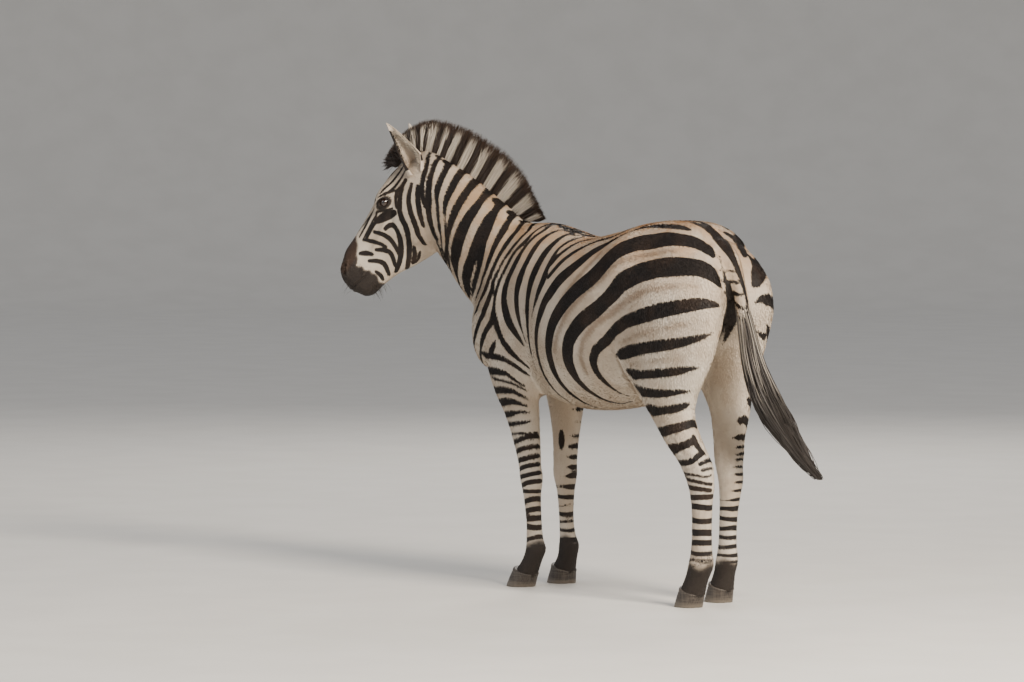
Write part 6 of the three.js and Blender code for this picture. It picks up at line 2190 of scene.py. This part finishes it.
@dataclass
class Coat:
    """Short tufts over the whole skin, laid by a node tree."""

    skin: MeshData
    parts: Array
    length: float = 10.5
    width: float = 3.0
    face_scale: float = 0.5
    budget: int = 195000

    def blade(self) -> bpy.types.Object:
        """One tuft: a thin closed sliver that leaves the skin and lies along it, one millimetre to the unit."""
        w, l = self.width / 2, self.length
        points = [(-0.5, 0, -0.8), (l * 0.45, -w, 1.5), (l * 0.45, w, 1.5), (l, 0, 2.3)]
        mesh = bpy.data.meshes.new("tuft")
        mesh.from_pydata([tuple(v * MM for v in p) for p in points], [], [(0, 1, 2), (1, 3, 2), (0, 3, 1), (0, 2, 3)])
        mesh.attributes.new("tip", "FLOAT", "POINT").data.foreach_set("value", [0, 0.5, 0.5, 1])
        local = {0: (0.5, 0.0), 1: (0.0, 0.5), 2: (1.0, 0.5), 3: (0.5, 1.0)}
        patch = mesh.attributes.new("patch", "FLOAT2", "CORNER")
        values = [v for loop in mesh.loops for v in local[loop.vertex_index]]
        patch.data.foreach_set("vector", values)
        return bpy.data.objects.new("tuft", mesh)

    @staticmethod
    def tree(material: bpy.types.Material) -> bpy.types.NodeTree:
        """The node tree: points on the skin, a tuft on each, turned to the lie of the hair.

        Args:
            material: the tufts' finish.

        Returns:
            The tree.
        """
        tree = bpy.data.node_groups.new("coat_tufts", "GeometryNodeTree")
        face = tree.interface
        face.new_socket("Geometry", in_out="INPUT", socket_type="NodeSocketGeometry")
        face.new_socket("Tuft", in_out="INPUT", socket_type="NodeSocketObject")
        face.new_socket("Density", in_out="INPUT", socket_type="NodeSocketFloat")
        face.new_socket("Fine Scale", in_out="INPUT", socket_type="NodeSocketFloat")
        face.new_socket("Geometry", in_out="OUTPUT", socket_type="NodeSocketGeometry")

        def node(kind: str, **values: object) -> bpy.types.Node:
            """Adds a node with its settings."""
            made = tree.nodes.new(kind)
            for key, value in values.items():
                setattr(made, key, value)
            return made

        def random(low: float, high: float, seed: int) -> bpy.types.NodeSocket:
            """A random number for each tuft."""
            made = node("FunctionNodeRandomValue", data_type="FLOAT")
            made.inputs[2].default_value, made.inputs[3].default_value = low, high
            made.inputs["Seed"].default_value = seed
            return made.outputs[1]

        def named(name: str, kind: str) -> bpy.types.NodeSocket:
            """A named attribute."""
            made = node("GeometryNodeInputNamedAttribute", data_type=kind)
            made.inputs[0].default_value = name
            return made.outputs[0]

        link = tree.links.new
        start, end = node("NodeGroupInput"), node("NodeGroupOutput")
        spread = node("GeometryNodeDistributePointsOnFaces", distribute_method="RANDOM")
        spread.inputs["Seed"].default_value = 7
        link(start.outputs[0], spread.inputs["Mesh"])
        link(start.outputs[2], spread.inputs["Density"])
        turn = node("FunctionNodeAxesToRotation", primary_axis="X", secondary_axis="Z")
        link(named("lie", "FLOAT_VECTOR"), turn.inputs[0])
        link(spread.outputs["Normal"], turn.inputs[1])
        stray = node("FunctionNodeRotateRotation", rotation_space="LOCAL")
        euler = node("ShaderNodeCombineXYZ")
        link(random(-0.35, 0.35, 1), euler.inputs[0])
        link(random(-0.10, 0.05, 2), euler.inputs[1])
        link(random(-0.26, 0.26, 3), euler.inputs[2])
        link(turn.outputs[0], stray.inputs[0])
        link(euler.outputs[0], stray.inputs[1])
        size = node("ShaderNodeMix", data_type="FLOAT")
        link(named("fine", "FLOAT"), size.inputs[0])
        size.inputs[2].default_value = 1.0
        link(start.outputs[3], size.inputs[3])
        scale = node("ShaderNodeMath", operation="MULTIPLY")
        link(size.outputs[0], scale.inputs[0])
        link(random(0.75, 1.3, 4), scale.inputs[1])
        shape = node("GeometryNodeObjectInfo", transform_space="ORIGINAL")
        link(start.outputs[1], shape.inputs[0])
        place = node("GeometryNodeInstanceOnPoints")
        vary = node("GeometryNodeStoreNamedAttribute", data_type="FLOAT", domain="POINT")
        vary.inputs["Name"].default_value = "vary"
        link(random(0, 1, 5), vary.inputs["Value"])
        link(spread.outputs["Points"], vary.inputs["Geometry"])
        link(vary.outputs[0], place.inputs["Points"])
        link(shape.outputs["Geometry"], place.inputs["Instance"])
        link(stray.outputs[0], place.inputs["Rotation"])
        link(scale.outputs[0], place.inputs["Scale"])
        solid = node("GeometryNodeRealizeInstances")
        link(place.outputs[0], solid.inputs[0])
        shift = node("ShaderNodeVectorMath", operation="MULTIPLY_ADD")
        link(named("patch", "FLOAT_VECTOR"), shift.inputs[0])
        shift.inputs[1].default_value = (TUFT_PATCH,) * 3
        link(named("root_uv", "FLOAT_VECTOR"), shift.inputs[2])
        chart = node("GeometryNodeStoreNamedAttribute", data_type="FLOAT2", domain="CORNER")
        chart.inputs["Name"].default_value = BAKE_UV
        link(solid.outputs[0], chart.inputs["Geometry"])
        link(shift.outputs[0], chart.inputs["Value"])
        last = chart.outputs[0]
        for name in ("patch", "root_uv", "lie", "fine"):
            drop = node("GeometryNodeRemoveAttribute")
            drop.inputs["Name"].default_value = name
            link(last, drop.inputs["Geometry"])
            last = drop.outputs[0]
        paint = node("GeometryNodeSetMaterial")
        paint.inputs["Material"].default_value = material
        link(last, paint.inputs["Geometry"])
        link(paint.outputs[0], end.inputs[0])
        return tree

    def patch(self, zone: CoatZone, whole: Array, middle: Array, uv_start: Array) -> MeshData:
        """The part of the skin that one piece of the coat grows on."""
        name, parts, side, _ = zone.value
        chosen = np.isin(whole, [p.value for p in parts])
        if side:
            chosen &= middle[:, 1] * side > 0
        faces = [self.skin.faces[i] for i in np.flatnonzero(chosen)]
        loops = np.concatenate([np.arange(uv_start[i], uv_start[i] + len(self.skin.faces[i]))
                                for i in np.flatnonzero(chosen)])
        used, index = np.unique(np.concatenate([np.asarray(f) for f in faces]), return_inverse=True)
        cut = np.cumsum([len(f) for f in faces])[:-1]
        data = MeshData(self.skin.verts[used], [f.tolist() for f in np.split(index, cut)])
        data.floats = {k: v[used] for k, v in self.skin.floats.items()}
        data.vectors = {k: v[used] for k, v in self.skin.vectors.items()}
        data.uv = self.skin.uv[loops]
        return data

    def build(self, material: bpy.types.Material) -> list[bpy.types.Object]:
        """Grows the coat.

        Args:
            material: the tufts' finish.

        Returns:
            One object for each zone.
        """
        faces = self.skin.faces
        flat = np.concatenate([np.asarray(f) for f in faces])
        sizes = np.array([len(f) for f in faces])
        face_of = np.repeat(np.arange(len(faces)), sizes)
        mean = np.stack([np.bincount(face_of, self.parts[flat, i]) for i in range(self.parts.shape[1])], 1)
        whole = mean.argmin(1)
        middle = np.stack([np.bincount(face_of, self.skin.verts[flat, i]) for i in range(3)], 1) / sizes[:, None]
        uv_start = np.concatenate([[0], np.cumsum(sizes)[:-1]])
        blade = self.blade()
        bpy.context.scene.collection.objects.link(blade)
        tree = self.tree(material)
        ids = {s.name: s.identifier for s in tree.interface.items_tree if s.in_out == "INPUT"}
        made = []
        for zone in CoatZone:
            name, _, _, density = zone.value
            data = self.patch(zone, whole, middle, uv_start)
            host = data.make(name + "_host", material)
            layer = host.data.uv_layers[BAKE_UV]
            layer.name = "root_uv"
            modifier = host.modifiers.new("tufts", "NODES")
            modifier.node_group = tree
            modifier[ids["Tuft"]] = blade
            modifier[ids["Density"]] = float(density) * 1.0
            modifier[ids["Fine Scale"]] = self.face_scale
            bpy.context.view_layer.update()
            graph = bpy.context.evaluated_depsgraph_get()
            mesh = bpy.data.meshes.new_from_object(host.evaluated_get(graph))
            bpy.data.objects.remove(host)
            mesh.name = name
            piece = bpy.data.objects.new(name, mesh)
            bpy.context.scene.collection.objects.link(piece)
            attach(piece, ROOT)
            made.append(piece)
        bpy.data.objects.remove(blade)
        return made


# ------------------------------------------------------------------ studio

@dataclass
class Studio:
    """Pale round floor that curves up at its edge, and soft lights."""

    radius: float = 24.0
    rise: float = 6.0
    segments: int = 128

    def floor(self) -> None:
        """Makes the floor and its raised edge as one sheet, alike from every side."""
        bend = np.linspace(0, math.pi / 2, 20)
        profile = [(self.radius * s, 0.0) for s in (0.1, 0.3, 0.6)]
        profile += [(self.radius + self.rise * math.sin(t), self.rise * (1 - math.cos(t))) for t in bend]
        n = self.segments
        angles = [2 * math.pi * i / n for i in range(n)]
        verts = [(r * math.cos(a), r * math.sin(a), z) for r, z in profile for a in angles]
        faces = [tuple(range(n))]
        faces += [(i * n + j, (i + 1) * n + j, (i + 1) * n + (j + 1) % n, i * n + (j + 1) % n)
                  for i in range(len(profile) - 1) for j in range(n)]
        mesh = bpy.data.meshes.new("floor")
        mesh.from_pydata(verts, [], faces)
        mesh.polygons.foreach_set("use_smooth", [True] * len(faces))
        material = bpy.data.materials.new("floor")
        n = Nodes(material)
        tone = n.mix(n.ramp(n.noise(3, 4), 0.3, 0.7), (0.64, 0.62, 0.58, 1), (0.67, 0.65, 0.61, 1))
        n.surface(tone, 0.9)
        mesh.materials.append(material)
        floor = bpy.data.objects.new("floor", mesh)
        bpy.context.scene.collection.objects.link(floor)

    @staticmethod
    def light(name: str, place: Sequence[float], power: float, size: float, colour: Sequence[float]) -> None:
        """Makes one soft square light that shines at the animal."""
        data = bpy.data.lights.new(name, "AREA")
        data.energy = power
        data.size = size
        data.color = colour
        lamp = bpy.data.objects.new(name, data)
        lamp.location = place
        lamp.rotation_euler = (Vector((0, 0, 0.95)) - Vector(place)).to_track_quat("-Z", "Y").to_euler()
        bpy.context.scene.collection.objects.link(lamp)

    def build(self) -> None:
        """Makes floor, sky and lights."""
        self.floor()
        world = bpy.data.worlds.new("studio")
        world.use_nodes = True
        world.node_tree.nodes["Background"].inputs[0].default_value = (0.93, 0.95, 1.0, 1)
        world.node_tree.nodes["Background"].inputs[1].default_value = 0.50
        bpy.context.scene.world = world
        self.light("key", (7.2, -0.6, 5.4), 1350, 2.2, (1.0, 0.90, 0.77))
        self.light("fill", (-1.5, -8.0, 4.0), 150, 5.0, (0.93, 0.96, 1.0))
        self.light("rim", (-5.5, 5.5, 5.5), 300, 3.0, (1.0, 0.95, 0.88))


# ------------------------------------------------------------------ making it all

FLESH_NODES = ("trunk", "neck", "head", "tail_dock", "ear_left", "ear_right") + tuple(
    f"{leg}_{part}_leg" for leg in HOOVES for part in ("upper", "lower"))


def main() -> None:
    """Builds every piece in order."""
    VIEW.build()
    Studio().build()
    body = BodyField()
    finish = CoatFinish()
    data, marks = Skin(body).build()
    parts = body.parts(data.verts)
    whole = join(data, *(ear.build() for ear in EARS.values()))
    skin = whole.make("skin", finish.build())
    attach(skin, ROOT)
    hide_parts(*FLESH_NODES)
    report(skin)
    made = Eyes().build() + Hooves().build() + [ear_hair()]
    made += Mane(marks, body, data).build(HairFinish("mane_hair", pale=(0.60, 0.53, 0.44, 1)))
    made += Tail().build(HairFinish("tail_hair", pale=(0.40, 0.36, 0.31, 1), dark=(0.030, 0.026, 0.024, 1),
                                         tip=(0.028, 0.024, 0.022, 1), tip_from=0.40, tip_to=0.66))
    made += Whiskers(body).build()
    lie = data.vectors["lie"]
    data.floats["stripe"] = marks.stripe(data.verts + lie * 4.0, parts)
    tufts = CoatFinish("tufts", streaks=False)
    made += Coat(data, parts).build(tufts.build())
    for piece in made:
        report(piece)


if __name__ == "__main__":
    main()
